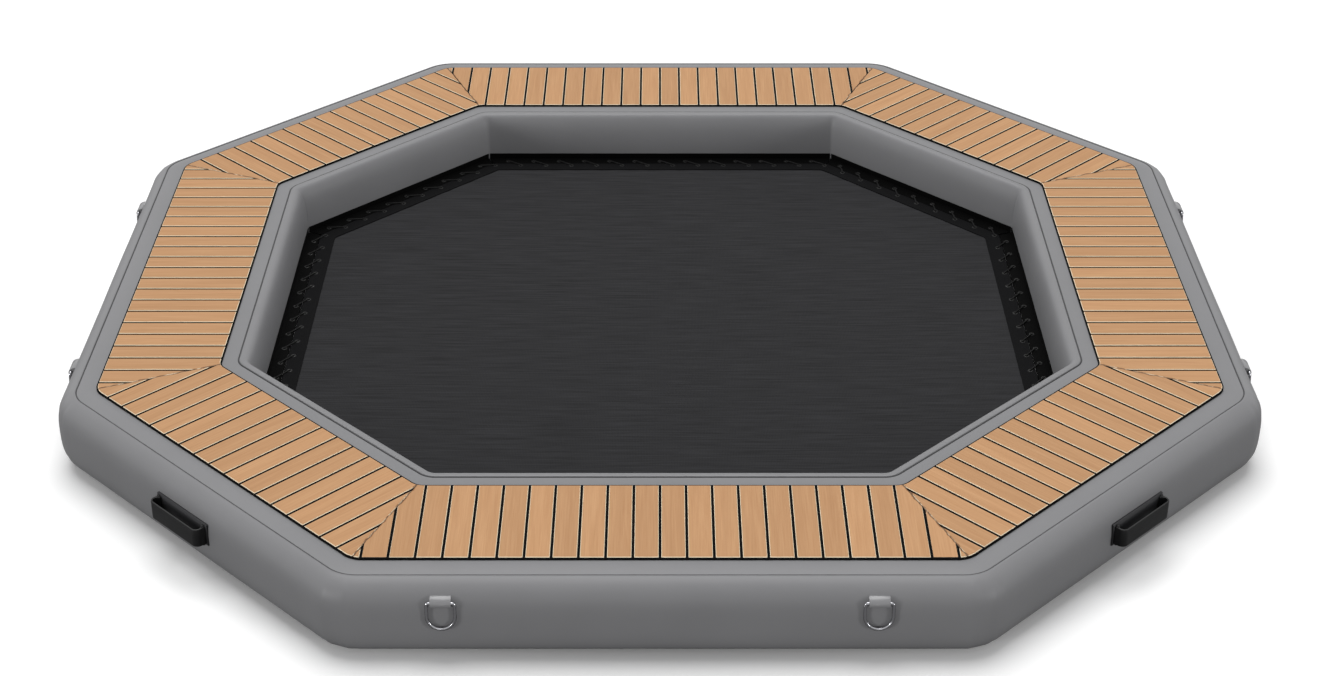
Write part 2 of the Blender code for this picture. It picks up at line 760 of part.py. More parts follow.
def make_valve_body():
    frame = valve_frame()
    top = GAP + VALVE_FLANGE
    low = top - VALVE_DEPTH - VALVE_SEAT
    profile = [
        (VALVE_TUBE_BORE, top),
        (VALVE_FLANGE_RADIUS, top),
        (VALVE_FLANGE_RADIUS, GAP),
        (VALVE_TUBE_RADIUS, GAP),
        (VALVE_TUBE_RADIUS, low),
        (VALVE_SEAT_BORE, low),
        (VALVE_SEAT_BORE, low + VALVE_SEAT),
        (VALVE_TUBE_BORE, low + VALVE_SEAT),
    ]
    body = turned_solid("valve_body", profile, frame, closed=True)
    vents = []
    for k in range(3):
        angle = 2 * pi * k / 3
        centre = (SPIDER_VENT_PLACE * cos(angle), SPIDER_VENT_PLACE * sin(angle))
        vents.append(circle(SPIDER_VENT_RADIUS, ROUND_STEPS, centre))
    rim = (VALVE_TUBE_BORE + VALVE_TUBE_RADIUS) / 2
    loops = [circle(rim, TURN_STEPS), circle(STEM_RADIUS + STEM_CLEARANCE, ROUND_STEPS), *vents]
    middle = Matrix.Translation((0, 0, top - SPIDER_DEPTH - SPIDER_THICKNESS / 2))
    spider = flat_solid("valve_spider", loops, SPIDER_THICKNESS, frame @ middle)
    combine(body, spider, "UNION")
    finish(body, "valve_plastic")

    nut_top = -SKIN_THICKNESS - VALVE_NUT_DROP
    nut_low = nut_top - VALVE_NUT_HEIGHT
    bore = VALVE_TUBE_RADIUS + GAP
    nut_profile = [(bore, nut_top), (VALVE_NUT_RADIUS, nut_top), (VALVE_NUT_RADIUS, nut_low)]
    nut_profile.append((bore, nut_low))
    finish(turned_solid("valve_nut", nut_profile, frame, closed=True), "valve_plastic")


def make_valve_stem():
    frame = valve_frame()
    flange_top = GAP + VALVE_FLANGE
    seat_face = flange_top - VALVE_DEPTH - VALVE_SEAT
    seal_top = seat_face - GAP
    seal_low = seal_top - SEAL_HEIGHT
    seal_profile = [(SEAL_BORE, seal_top), (SEAL_RADIUS, seal_top), (SEAL_RADIUS, seal_low)]
    seal_profile.append((SEAL_BORE, seal_low))
    finish(turned_solid("valve_seal", seal_profile, frame, closed=True), "black_rubber")

    button_top = flange_top - BUTTON_DROP - CAP_PLUG_DEPTH / 2
    button_low = button_top - BUTTON_HEIGHT
    disc_top = seal_low - GAP
    disc_low = disc_top - DISC_HEIGHT
    profile = [
        (0, button_top),
        (BUTTON_RADIUS, button_top),
        (BUTTON_RADIUS, button_low),
        (STEM_RADIUS, button_low),
        (STEM_RADIUS, disc_top),
        (DISC_RADIUS, disc_top),
        (DISC_RADIUS, disc_low),
        (0, disc_low),
    ]
    finish(turned_solid("valve_stem", profile, frame, closed=False), "valve_plastic")

    spring_low = flange_top - SPIDER_DEPTH + GAP + SPRING_WIRE_RADIUS
    spring_high = button_low - GAP - SPRING_WIRE_RADIUS
    rise = spring_high - spring_low
    count = SPRING_TURNS * ROUND_STEPS
    points = []
    for k in range(count + 1):
        angle = 2 * pi * k / ROUND_STEPS
        height = spring_low + rise * k / count
        points.append((SPRING_RADIUS * cos(angle), SPRING_RADIUS * sin(angle), height))
    spring = wire_solid("valve_spring", points, SPRING_WIRE_RADIUS, frame)
    finish(spring, "stainless")
    print("spring: least gap between turns", least_gap(points, ROUND_STEPS, SPRING_WIRE_RADIUS))


def least_gap(points, apart, radius):
    """Least clear distance between a tube's points that lie at least one turn apart."""
    vectors = [Vector(point) for point in points]
    gaps = []
    for i, first in enumerate(vectors):
        gaps += [(first - other).length - 2 * radius for other in vectors[i + apart :]]
    return min(gaps)


def make_valve_cap():
    frame = valve_frame()
    plate_low = GAP + VALVE_FLANGE + GAP
    plate_top = plate_low + CAP_PLATE
    strap_low = plate_top + GAP
    strap_top = strap_low + TETHER_THICKNESS
    head_low = strap_top + GAP
    profile = [
        (0, head_low + CAP_STUD_HEAD),
        (CAP_STUD_HEAD_RADIUS, head_low + CAP_STUD_HEAD),
        (CAP_STUD_HEAD_RADIUS, head_low),
        (CAP_STUD_RADIUS, head_low),
        (CAP_STUD_RADIUS, plate_top),
        (CAP_RADIUS, plate_top),
        (CAP_RADIUS, plate_low),
        (CAP_PLUG_RADIUS, plate_low),
        (CAP_PLUG_RADIUS, plate_low - CAP_PLUG_DEPTH),
        (CAP_PLUG_BORE, plate_low - CAP_PLUG_DEPTH),
        (CAP_PLUG_BORE, plate_low),
        (0, plate_low),
    ]
    finish(turned_solid("valve_cap", profile, frame, closed=False), "valve_plastic")

    hinge = VALVE_FLANGE_RADIUS - TETHER_EDGE
    half = TETHER_WIDTH / 2
    eye = [(hinge, half), (hinge, -half)]
    first = atan2(-half, TETHER_EYE_RADIUS)
    sweep = 2 * pi + 2 * first
    for k in range(ROUND_STEPS + 1):
        angle = first - sweep * k / ROUND_STEPS
        eye.append((TETHER_EYE_RADIUS * cos(angle), TETHER_EYE_RADIUS * sin(angle)))
    loops = [eye, circle(CAP_STUD_RADIUS + STEM_CLEARANCE, ROUND_STEPS)]
    on_hinge = frame @ Matrix.Translation((hinge, 0, plate_low))
    to_strap = Matrix.Translation((-hinge, 0, (strap_low + strap_top) / 2 - plate_low))
    strap = flat_solid("valve_tether_strap", loops, TETHER_THICKNESS, on_hinge @ to_strap)
    rise = strap_top - TETHER_THICKNESS / 2 - plate_low
    root_place = (-TETHER_ROOT / 2, 0, rise / 2)
    root = boxes("valve_tether", [root_place], (TETHER_ROOT, TETHER_WIDTH, rise), on_hinge)
    combine(root, strap, "UNION")
    finish(root, "valve_plastic")


clear_scene()
PARTS = make_collection("inflatable_dock_platform")
CUTTERS = make_collection("cutters")
SIDES = make_sides()
make_ring()
make_deck()
make_floor()
make_flaps()
make_lacing()
make_rings()
make_handles()
make_valve_body()
make_valve_stem()
make_valve_cap()
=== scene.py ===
"""Inflatable dock platform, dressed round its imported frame: camera and light first, then the
drop-stitch ring, the foam deck, the laced mesh floor, the rings, the handles and the valve."""

from collections import namedtuple
from math import acos, atan2, cos, exp, floor, pi, radians, sin, tan

import bmesh
import bpy
from mathutils import Matrix, Vector, noise


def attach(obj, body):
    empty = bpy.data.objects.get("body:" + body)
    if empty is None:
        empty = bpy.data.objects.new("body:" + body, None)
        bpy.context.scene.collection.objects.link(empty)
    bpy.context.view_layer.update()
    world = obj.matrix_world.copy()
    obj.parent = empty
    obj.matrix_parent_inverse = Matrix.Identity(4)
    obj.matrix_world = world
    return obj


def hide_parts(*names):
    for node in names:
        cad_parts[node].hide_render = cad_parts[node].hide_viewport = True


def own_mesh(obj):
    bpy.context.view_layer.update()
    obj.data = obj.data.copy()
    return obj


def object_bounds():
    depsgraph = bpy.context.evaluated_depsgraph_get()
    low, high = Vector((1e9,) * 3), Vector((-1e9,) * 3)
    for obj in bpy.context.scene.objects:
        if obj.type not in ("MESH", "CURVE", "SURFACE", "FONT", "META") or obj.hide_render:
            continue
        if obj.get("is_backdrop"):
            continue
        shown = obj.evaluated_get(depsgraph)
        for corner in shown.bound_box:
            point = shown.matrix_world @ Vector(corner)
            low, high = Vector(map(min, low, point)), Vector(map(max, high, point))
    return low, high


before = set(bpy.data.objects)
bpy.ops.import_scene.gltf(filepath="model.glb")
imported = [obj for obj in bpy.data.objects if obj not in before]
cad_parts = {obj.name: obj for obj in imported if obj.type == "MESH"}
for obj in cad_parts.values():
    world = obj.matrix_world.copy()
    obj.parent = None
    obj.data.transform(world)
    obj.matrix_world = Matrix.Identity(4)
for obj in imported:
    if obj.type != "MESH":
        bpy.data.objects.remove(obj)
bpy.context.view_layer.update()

# Camera: a long lens above the front side, level with the photograph's viewpoint.
# Its distance and pitch were fitted to the deck's straight edges.
LENS = 63.58
CAMERA_PLACE = (0.0, -5.6522, 3.2699)
CAMERA_PITCH = 30.14


def link_object(name, data):
    item = bpy.data.objects.new(name, data)
    bpy.context.scene.collection.objects.link(item)
    return item


camera = link_object("camera", bpy.data.cameras.new("camera"))
camera.data.lens = LENS
camera.location = CAMERA_PLACE
camera.rotation_euler = (radians(90 - CAMERA_PITCH), 0, 0)
bpy.context.scene.camera = camera


# Studio: one wide soft key light from above and behind, three low fills in front that light
# the walls and hardly the floor, a pale sky, and a white paper floor, lifted where it is seen.
SKY_WHITE = "#FFFFFF"
SKY_LIGHT = 0.28
SKY_SEEN = 1.0
KEY_STRENGTH = 2.18
KEY_ANGLE = 48.0
KEY_PLACE = (-0.05, 0.30, 1.0)
FILLS = {"front": (0.12, 0.0), "front_left": (0.94, -60.0), "front_right": (0.81, 60.0)}
FILL_HEIGHT = 6.5
FILL_ANGLE = 9.0
FLOOR_REACH = 60.0
FLOOR_WHITE = "#FBFBFB"
FLOOR_BOUNCE = "#8C8C8C"
FLOOR_LIFT = 0.17
LIFT_FROM = 1.3
LIFT_TO = 1.75


def linear(code):
    """The linear colour of an sRGB hex code, with alpha 1."""
    parts = [int(code[i : i + 2], 16) / 255 for i in (1, 3, 5)]
    return (*[p / 12.92 if p <= 0.04045 else ((p + 0.055) / 1.055) ** 2.4 for p in parts], 1.0)


def feed(tree, node, inputs):
    """Fills a node's inputs with values and hex colours, or links them to outputs or nodes."""
    for name, value in inputs.items():
        if isinstance(value, str):
            value = linear(value)
        if isinstance(value, bpy.types.Node):
            value = next(output for output in value.outputs if output.enabled)
        if isinstance(value, bpy.types.NodeSocket):
            tree.links.new(value, node.inputs[name])
        else:
            node.inputs[name].default_value = value
    return node


def add(tree, kind, inputs=None, **settings):
    """Adds a node with its settings and its inputs. A short kind is a shader node's."""
    node = tree.nodes.new(kind if "Node" in kind else "ShaderNode" + kind)
    for name, value in settings.items():
        setattr(node, name, value)
    return feed(tree, node, inputs or {})


def made_object(name, shape):
    """Turns a finished bmesh into an object of the scene."""
    mesh = bpy.data.meshes.new(name)
    shape.to_mesh(mesh)
    shape.free()
    return link_object(name, mesh)


world = bpy.data.worlds.new("sky")
world.use_nodes = True
tree = world.node_tree
ray = add(tree, "LightPath").outputs
seen = add(tree, "Math", {0: ray["Is Camera Ray"], 1: ray["Is Glossy Ray"]}, operation="MAXIMUM")
strength = add(tree, "Mix", {0: seen, 2: SKY_LIGHT, 3: SKY_SEEN})
feed(tree, tree.nodes["Background"], {"Color": SKY_WHITE, "Strength": strength})
bpy.context.scene.world = world

key_turn = (-Vector(KEY_PLACE)).to_track_quat("-Z", "Y").to_euler()
suns = {"key_light": (KEY_STRENGTH, KEY_ANGLE, key_turn)}
for name, (power, bearing) in FILLS.items():
    turn = (radians(90 - FILL_HEIGHT), 0, radians(bearing))
    suns["fill_" + name] = (power, FILL_ANGLE, turn)
for name, (power, width, turn) in suns.items():
    sun = bpy.data.lights.new(name, "SUN")
    sun.energy = power
    sun.angle = radians(width)
    link_object(name, sun).rotation_euler = turn

shape = bmesh.new()
bmesh.ops.create_grid(shape, x_segments=1, y_segments=1, size=FLOOR_REACH)
studio_floor = made_object("studio_floor", shape)
paper = bpy.data.materials.new("white_paper_floor")
paper.use_nodes = True
tree = paper.node_tree
tree.nodes.clear()
ray = add(tree, "LightPath").outputs
shown = add(tree, "BsdfDiffuse", {"Color": FLOOR_WHITE})
bounce = add(tree, "BsdfDiffuse", {"Color": FLOOR_BOUNCE})
place = add(tree, "TexCoord").outputs
away = add(tree, "VectorMath", {0: place["Object"]}, operation="LENGTH")
fade = add(tree, "MapRange", {0: away, 1: LIFT_FROM, 2: LIFT_TO, 4: FLOOR_LIFT})
lift = add(tree, "Emission", {"Color": SKY_WHITE, "Strength": fade})
lifted = add(tree, "AddShader", {0: shown, 1: lift})
both = add(tree, "MixShader", {0: ray["Is Camera Ray"], 1: bounce, 2: lifted})
add(tree, "OutputMaterial", {"Surface": both})
studio_floor.data.materials.append(paper)
studio_floor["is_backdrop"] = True
bpy.context.scene.view_settings.view_transform = "Standard"


# Ring skins: grey PVC-coated polyester, the top and bottom of the platform's body.
# They slope in outside the deck. A separate strip is lapped over each edge, glued down and
# blown out into a bulge by the air inside.
HALF_WIDTH = 1.524
HALF_DEPTH = 1.4745
HALF_ACROSS_CORNERS = 1.564
GAP = 0.0003
OUTER_MARGIN = 0.052
OUTER_LAP = 0.010
OUTER_BULGE = 0.040
OUTER_REACH = OUTER_MARGIN + OUTER_LAP + OUTER_BULGE
INNER_MARGIN = 0.042
INNER_LAP = 0.008
INNER_BULGE = 0.032
CLOTH = 0.0012
BULGE_POWER = 2.4
EDGE_POWER = 3.0
OUTER_SEAM_RADIUS = 0.095
WELL_CORNER_RADIUS = 0.014
DECK_WIDTH = 0.297
CORE_HEIGHT = 0.203
SKIN_FACE = CLOTH + GAP
SKIN_BACK = SKIN_FACE + CLOTH
TOP_SKIN_HIGH = CORE_HEIGHT + 3 * SKIN_FACE
RING_HEIGHT = TOP_SKIN_HIGH + SKIN_FACE
RING_MIDDLE = RING_HEIGHT / 2
INNER_SEAM = -DECK_WIDTH - INNER_MARGIN
INNER_TANGENT = INNER_SEAM - INNER_LAP
INNER_FACE = INNER_TANGENT - INNER_BULGE
HALF_TURN = pi / 8
STRAIGHT_STEP = 0.03
WHOLE_STRAIGHT = 10.0
CORNER_STEPS = 14
BULGE_STEPS = 44
SKIN_CREASE = radians(8)
PUCKER_DEPTH = 0.0011
PUCKER_PITCH = 0.034
PUCKER_REACH = 0.085
PUCKER_START = 0.012
PUCKER_FALL = 0.055
SECOND_PITCH_SHARE = 0.53
SECOND_PHASE = 1.3
SLACK_DEPTH = 0.0011
SLACK_SIZE = 0.22
SLACK_FADE_SHARE = 1 / 3

Side = namedtuple("Side", "name normal tangent middle half")
Stop = namedtuple("Stop", "place outwards along from_corner")


def make_sides():
    """The octagon's sides, anticlockwise from the front, on the line of the deck's edge."""
    names = ["front", "front_right", "right", "back_right",
             "back", "back_left", "left", "front_left"]
    overall = [HALF_DEPTH, HALF_ACROSS_CORNERS, HALF_WIDTH, HALF_ACROSS_CORNERS] * 2
    reaches = [size - OUTER_REACH for size in overall]
    turn = 2 * HALF_TURN
    sides = []
    for i, name in enumerate(names):
        angle = (i - 2) * turn
        normal = Vector((cos(angle), sin(angle)))
        tangent = Vector((-sin(angle), cos(angle)))
        ahead = (reaches[(i + 1) % len(names)] - reaches[i] * cos(turn)) / sin(turn)
        behind = (reaches[i - 1] - reaches[i] * cos(turn)) / sin(turn)
        middle = normal * reaches[i] + tangent * (ahead - behind) / 2
        sides.append(Side(name, normal, tangent, middle, (ahead + behind) / 2))
    return sides


SIDES = make_sides()


def on_side(side, along, offset):
    return side.middle + side.tangent * along + side.normal * offset


def half_length(side, offset):
    return side.half + offset * tan(HALF_TURN)


def round_path(offset, radius, corner_steps, straight_step):
    """Stops round the octagon at an offset from the deck's edge, corners rounded."""
    stops = []
    walked = 0.0
    for side in SIDES:
        reach = half_length(side, offset) - radius * tan(HALF_TURN)
        count = max(1, round(2 * reach / straight_step))
        for k in range(count):
            along = -reach + 2 * reach * k / count
            corner = reach - abs(along) + radius * HALF_TURN
            place = on_side(side, along, offset)
            stops.append(Stop(place, side.normal, walked + along + reach, corner))
        walked += 2 * reach
        centre = on_side(side, reach, offset - radius)
        for k in range(corner_steps):
            angle = k * 2 * HALF_TURN / corner_steps
            outwards = side.normal * cos(angle) + side.tangent * sin(angle)
            corner = abs(radius * (angle - HALF_TURN))
            place = centre + outwards * radius
            stops.append(Stop(place, outwards, walked + radius * angle, corner))
        walked += radius * 2 * HALF_TURN
    return stops


def turn_outwards(shape):
    bmesh.ops.recalc_face_normals(shape, faces=shape.faces)


def bridged(shape, first, second):
    """Faces between two closed rows of vertices."""
    faces = []
    for i in range(len(first)):
        j = (i + 1) % len(first)
        faces.append(shape.faces.new((first[i], first[j], second[j], second[i])))
    return faces


def swept(name, stops, section, shift=None):
    """A closed band: the section's (outwards, up) points carried round the stops."""
    shape = bmesh.new()
    uv = shape.loops.layers.uv.new("UVMap")
    rows = []
    for stop in stops:
        row = []
        for out, up in section:
            reach = out + (shift(stop, up) if shift else 0.0)
            row.append(shape.verts.new((*(stop.place + stop.outwards * reach), up)))
        rows.append(row)
    lengths = [0.0]
    for a, b in zip(section, section[1:] + section[:1]):
        lengths.append(lengths[-1] + (Vector(b) - Vector(a)).length)
    for i, row in enumerate(rows):
        j = (i + 1) % len(rows)
        start = stops[i].along
        end = stops[j].along if j else start + STRAIGHT_STEP
        for k, face in enumerate(bridged(shape, row, rows[j])):
            face.smooth = True
            corners = ((start, k), (start, k + 1), (end, k + 1), (end, k))
            for loop, (along, step) in zip(face.loops, corners):
                loop[uv].uv = (along, lengths[step])
    turn_outwards(shape)
    return made_object(name, shape)


def bulge(height, depth, thickness=0.0, power=BULGE_POWER):
    """How far a rounded band stands out at a height from the line where its rounding starts."""
    half = RING_MIDDLE - thickness
    share = min(abs(height - RING_MIDDLE) / half, 1.0)
    return (depth - thickness) * (1 - share**power) ** (1 / power)


def rise(angle, power=BULGE_POWER):
    """Height above the middle as a share of the half height, for an angle round the bulge."""
    return abs(sin(angle)) ** (2 / power) * (1 if angle > 0 else -1)


def wall_face(height):
    """Offset of the outer wall's outside at a height."""
    return bulge(height, OUTER_REACH, power=EDGE_POWER)


def hinge_face(height):
    """Offset of the flatter wall that the rings' hinges and rest angle are set out from."""
    return OUTER_MARGIN + OUTER_LAP + bulge(height, OUTER_BULGE)


def rounded_place(angle, inset):
    """A place on the ring's rounded outer edge as (offset, up), on a surface set in from it."""
    reach = (OUTER_REACH - inset) * cos(angle) ** (2 / EDGE_POWER)
    return reach, RING_MIDDLE + (RING_MIDDLE - inset) * rise(angle, EDGE_POWER)


def edge_angle(offset):
    return acos((offset / OUTER_REACH) ** (EDGE_POWER / 2))


def mirrored(points):
    return [(out, RING_HEIGHT - up) for out, up in points[::-1]]


def outer_section():
    """Section of the outer band as (outwards from its seam, up), outside first, from the top."""
    first = edge_angle(OUTER_MARGIN)
    turns = [first - 2 * first * k / BULGE_STEPS for k in range(BULGE_STEPS + 1)]
    places = [rounded_place(turn, 0) for turn in turns]
    places += [rounded_place(turn, CLOTH) for turn in turns[::-1]]
    return [(offset - OUTER_MARGIN, height) for offset, height in places]


def inner_section():
    """Section of the inner band as (outwards from its lap's edge, up), from the top."""

    def half_section(thickness):
        half = RING_MIDDLE - thickness
        points = [(0, RING_MIDDLE + half)]
        for k in range(BULGE_STEPS + 1):
            height = RING_MIDDLE + half * rise(pi / 2 - k * pi / BULGE_STEPS)
            points.append((INNER_LAP + bulge(height, INNER_BULGE, thickness), height))
        return points + [(0, RING_MIDDLE - half)]

    edge = CLOTH / 3
    outside = [(0, RING_HEIGHT - edge), (edge, RING_HEIGHT)]
    outside += half_section(0)[1:-1] + [(edge, 0), (0, edge)]
    return outside + half_section(CLOTH)[::-1]


def pucker(strength, half):
    """Small gathers beside the seams at the corners, and faint slack waves along the wall."""

    def shift(stop, up):
        reach = half - abs(up - RING_MIDDLE)
        if reach <= 0:
            return 0.0
        near = exp(-((stop.from_corner / PUCKER_REACH) ** 2))
        fade = min(1.0, reach / PUCKER_START) * exp(-reach / PUCKER_FALL)
        turn = 2 * pi * stop.along / PUCKER_PITCH
        wave = sin(turn) + sin(turn / SECOND_PITCH_SHARE + SECOND_PHASE) / 2
        slack = noise.noise(Vector((*stop.place, up)) / SLACK_SIZE)
        slack *= min(1.0, reach / half / SLACK_FADE_SHARE)
        return strength * (PUCKER_DEPTH * near * fade * wave + SLACK_DEPTH * slack)

    return shift


def surface(name, colour, roughness, specular=0.5, metallic=0.0):
    """A named material with its Principled shader set, and its tree, shader and places."""
    made = bpy.data.materials.new(name)
    made.use_nodes = True
    tree = made.node_tree
    shader = tree.nodes["Principled BSDF"]
    feed(tree, shader, {"Base Color": colour, "Roughness": roughness,
                        "Specular IOR Level": specular, "Metallic": metallic})
    return made, tree, shader, add(tree, "TexCoord").outputs


# PVC-coated cloth: satin, calendered, with the base cloth's grid faint under the coat.
# The threads are 1.1 mm apart; broad noise gives the slight tone changes of handled sheet.
PVC_THREAD = 0.0011
PVC_CLOUD = 1 / 5
PVC_SLACK = 1 / 9
PVC_LIGHT = "#88888A"
PVC_DARK = "#808082"
WAVE_PERIOD = 0.314


def weave(tree, place, thread):
    """The height of a plain weave of a thread width, from the waves' period at scale 1."""
    pair = []
    for way in "XY":
        wave = add(tree, "TexWave", {"Vector": place, "Scale": WAVE_PERIOD / thread},
                   bands_direction=way)
        pair.append(wave.outputs["Fac"])
    return add(tree, "Math", {0: pair[0], 1: pair[1]}, operation="ADD")


ring_cloth, tree, shader, place = surface("pvc_coated_cloth_grey", PVC_LIGHT, 0.42, specular=0.25)
cloud = add(tree, "TexNoise", {"Vector": place["Object"], "Scale": 1 / PVC_CLOUD, "Detail": 4.0})
tone = add(tree, "Mix", {0: cloud, 6: PVC_DARK, 7: PVC_LIGHT}, data_type="RGBA")
rough = add(tree, "MapRange", {0: cloud, 3: 0.37, 4: 0.47})
grid = weave(tree, place["UV"], PVC_THREAD)
grain = add(tree, "Bump", {"Height": grid, "Strength": 0.12, "Distance": 0.0001})
waves = add(tree, "TexNoise", {"Vector": place["Object"], "Scale": 1 / PVC_SLACK, "Detail": 2.0})
soft = add(tree, "Bump", {"Height": waves, "Strength": 0.25, "Distance": 0.004, "Normal": grain})
feed(tree, shader, {"Base Color": tone, "Roughness": rough, "Normal": soft})


def dress(item, material, slot, *nodes, body="platform"):
    """Gives a finished piece its material and its place in the frame."""
    item.data.materials.clear()
    item.data.materials.append(material)
    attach(item, body)
    if nodes:
        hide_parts(*nodes)


def softened(item, crease):
    """Shades an object smooth, except across edges sharper than the crease angle."""
    item.data.shade_smooth()
    item.data.set_sharp_from_angle(angle=crease)
    return item


def skin(name, stops):
    """A sheet through octagons at the (outwards from the deck's edge, up) stops, closed."""
    shape = bmesh.new()
    rings = []
    for offset, up in stops:
        radius = OUTER_SEAM_RADIUS + offset - OUTER_MARGIN
        if offset < -DECK_WIDTH:
            radius = WELL_CORNER_RADIUS + offset - INNER_FACE
        path = round_path(offset, radius, CORNER_STEPS, WHOLE_STRAIGHT)
        rings.append([shape.verts.new((*stop.place, up)) for stop in path])
    for first, second in zip(rings, rings[1:] + rings[:1]):
        bridged(shape, first, second)
    turn_outwards(shape)
    uv = shape.loops.layers.uv.new("UVMap")
    for face in shape.faces:
        for loop in face.loops:
            loop[uv].uv = loop.vert.co.xy
    return softened(made_object(name, shape), SKIN_CREASE)


EDGE_STOPS = [OUTER_MARGIN * k / 3 for k in range(4)] + [OUTER_MARGIN + OUTER_LAP - GAP]


def across_ring(inset):
    """A line across the ring's top as (offset, up), set in from the outside of the strips."""
    line = [rounded_place(edge_angle(offset), inset) for offset in EDGE_STOPS]
    return [(INNER_TANGENT + CLOTH, line[0][1])] + line


skin_stops = across_ring(SKIN_FACE) + across_ring(SKIN_BACK)[::-1]
dress(skin("top_skin_cloth", skin_stops), ring_cloth, "grey_pvc", "top_skin")
dress(skin("bottom_skin_cloth", mirrored(skin_stops)), ring_cloth, "grey_pvc", "bottom_skin")

# Drop-stitch core: polyester threads that hold the two skins parallel, drawn as one pale block.
# It fills the ring and follows the skins' slope at the outer edge.
CORE_THREAD = 0.00523
core_thread, tree, shader, place = surface("drop_stitch_thread", "#BDBDBB", 0.9)
threads = add(tree, "TexWave", {"Vector": place["Object"], "Scale": WAVE_PERIOD / CORE_THREAD})
bump = add(tree, "Bump", {"Height": threads.outputs["Fac"], "Strength": 0.5, "Distance": 0.001})
feed(tree, shader, {"Normal": bump})
core_line = across_ring(SKIN_BACK + GAP)
core = skin("drop_stitch_block", core_line + mirrored(core_line))
dress(core, core_thread, "drop_stitch", "drop_stitch_core")

# Wall bands: the same cloth in one strip round the outside and one round the well.
# Each bulges between its laps and gathers a little at the corners.
outer_path = round_path(OUTER_MARGIN, OUTER_SEAM_RADIUS, CORNER_STEPS, STRAIGHT_STEP)
lap_edge = rounded_place(edge_angle(OUTER_MARGIN + OUTER_LAP), 0)
gathers = pucker(1.0, lap_edge[1] - RING_MIDDLE)
outer_wall = swept("outer_wall_band", outer_path, outer_section(), gathers)

inner_band = [(INNER_LAP + INNER_BULGE - out, up) for out, up in inner_section()]
inner_path = round_path(INNER_FACE, WELL_CORNER_RADIUS, CORNER_STEPS // 2, STRAIGHT_STEP)
inner_wall = swept("inner_wall_band", inner_path, inner_band, pucker(0.6, RING_MIDDLE))
dress(inner_wall, ring_cloth, "grey_pvc", "inner_wall")

# Valve hole: punched out of the middle of the back wall before the wall is lapped on.
# It is a little wider than the valve's body.
VALVE_HOLE_RADIUS = 0.0223
shape = bmesh.new()
bmesh.ops.create_cone(shape, cap_ends=True, segments=48, radius1=VALVE_HOLE_RADIUS,
                      radius2=VALVE_HOLE_RADIUS, depth=OUTER_REACH / 2)
punch = made_object("punch", shape)
hole_place = Matrix.Translation((0, HALF_DEPTH, RING_MIDDLE))
punch.matrix_world = hole_place @ Matrix.Rotation(pi / 2, 4, "X")


def settle(item):
    """Applies an object's modifiers and leaves it as plain mesh at the origin."""
    bpy.context.view_layer.update()
    whole = item.evaluated_get(bpy.context.evaluated_depsgraph_get())
    mesh = bpy.data.meshes.new_from_object(whole)
    mesh.transform(item.matrix_world)
    name = item.name
    bpy.data.objects.remove(item)
    mesh.name = name
    return link_object(name, mesh)


cut = outer_wall.modifiers.new("punch", "BOOLEAN")
cut.operation = "DIFFERENCE"
cut.solver = "EXACT"
cut.object = punch
outer_wall = settle(outer_wall)
bpy.data.objects.remove(punch)
dress(outer_wall, ring_cloth, "grey_pvc", "outer_wall")

# Seam lines: a sealing bead run along the edge of each lap, top and bottom, coloured dark grey.
# It fills the step between strip and skin, and its dark grey is painted shadow: the step's shade
# drawn as a thin dark line.
BEAD_WIDTH = 0.0042
BEAD_HEIGHT = 0.0008
BEAD_LUMP = 0.00625
BEAD_STEP = 1.0


def lumpy(name, colour, roughness, lump, strength, depth, specular=0.5):
    """A material with fine lumps all over, their size and the bump's depth in metres."""
    made, tree, shader, place = surface(name, colour, roughness, specular)
    lumps = add(tree, "TexNoise", {"Vector": place["Object"], "Scale": 1 / lump, "Detail": 2.0})
    bump = add(tree, "Bump", {"Height": lumps, "Strength": strength, "Distance": depth})
    feed(tree, shader, {"Normal": bump})
    return made, tree, shader, place


# The bead's dark grey is painted shadow of the lap's step.
seam_bead_painted_shadow = lumpy("seam_sealant_dark_grey", "#363638", 0.6, BEAD_LUMP, 0.4, 0.0004)[0]
rounded = [(0, 0), (0, CLOTH), (BEAD_WIDTH / 3, BEAD_HEIGHT), (BEAD_WIDTH, 0)]
inner_bead = [(out, TOP_SKIN_HIGH + GAP / 2 + up) for out, up in rounded]
strip_edge = rounded_place(edge_angle(OUTER_MARGIN), 0)[1]
deck_edge, seam = [rounded_place(edge_angle(offset), SKIN_FACE) for offset in (0, OUTER_MARGIN)]
slope = (deck_edge[1] - seam[1]) / seam[0]
outer_bead = [(0, strip_edge - SKIN_FACE - GAP), (0, strip_edge)]
for share, lift in ((1 / 3, BEAD_HEIGHT), (1, GAP / 3)):
    out = -BEAD_WIDTH * share
    outer_bead.append((out, seam[1] + slope * (seam[0] - OUTER_MARGIN - out) + lift))
inner_radius = WELL_CORNER_RADIUS + INNER_BULGE + INNER_LAP
for name, offset, radius, section in (
    ("outer", OUTER_MARGIN - GAP, OUTER_SEAM_RADIUS - GAP, outer_bead),
    ("inner", INNER_SEAM + GAP, inner_radius + GAP, inner_bead),
):
    stops = round_path(offset, radius, CORNER_STEPS, BEAD_STEP)
    for level, profile in (("top", section), ("bottom", mirrored(section))):
        dress(swept(f"seam_line_{name}_{level}", stops, profile), seam_bead_painted_shadow, "grey_pvc")
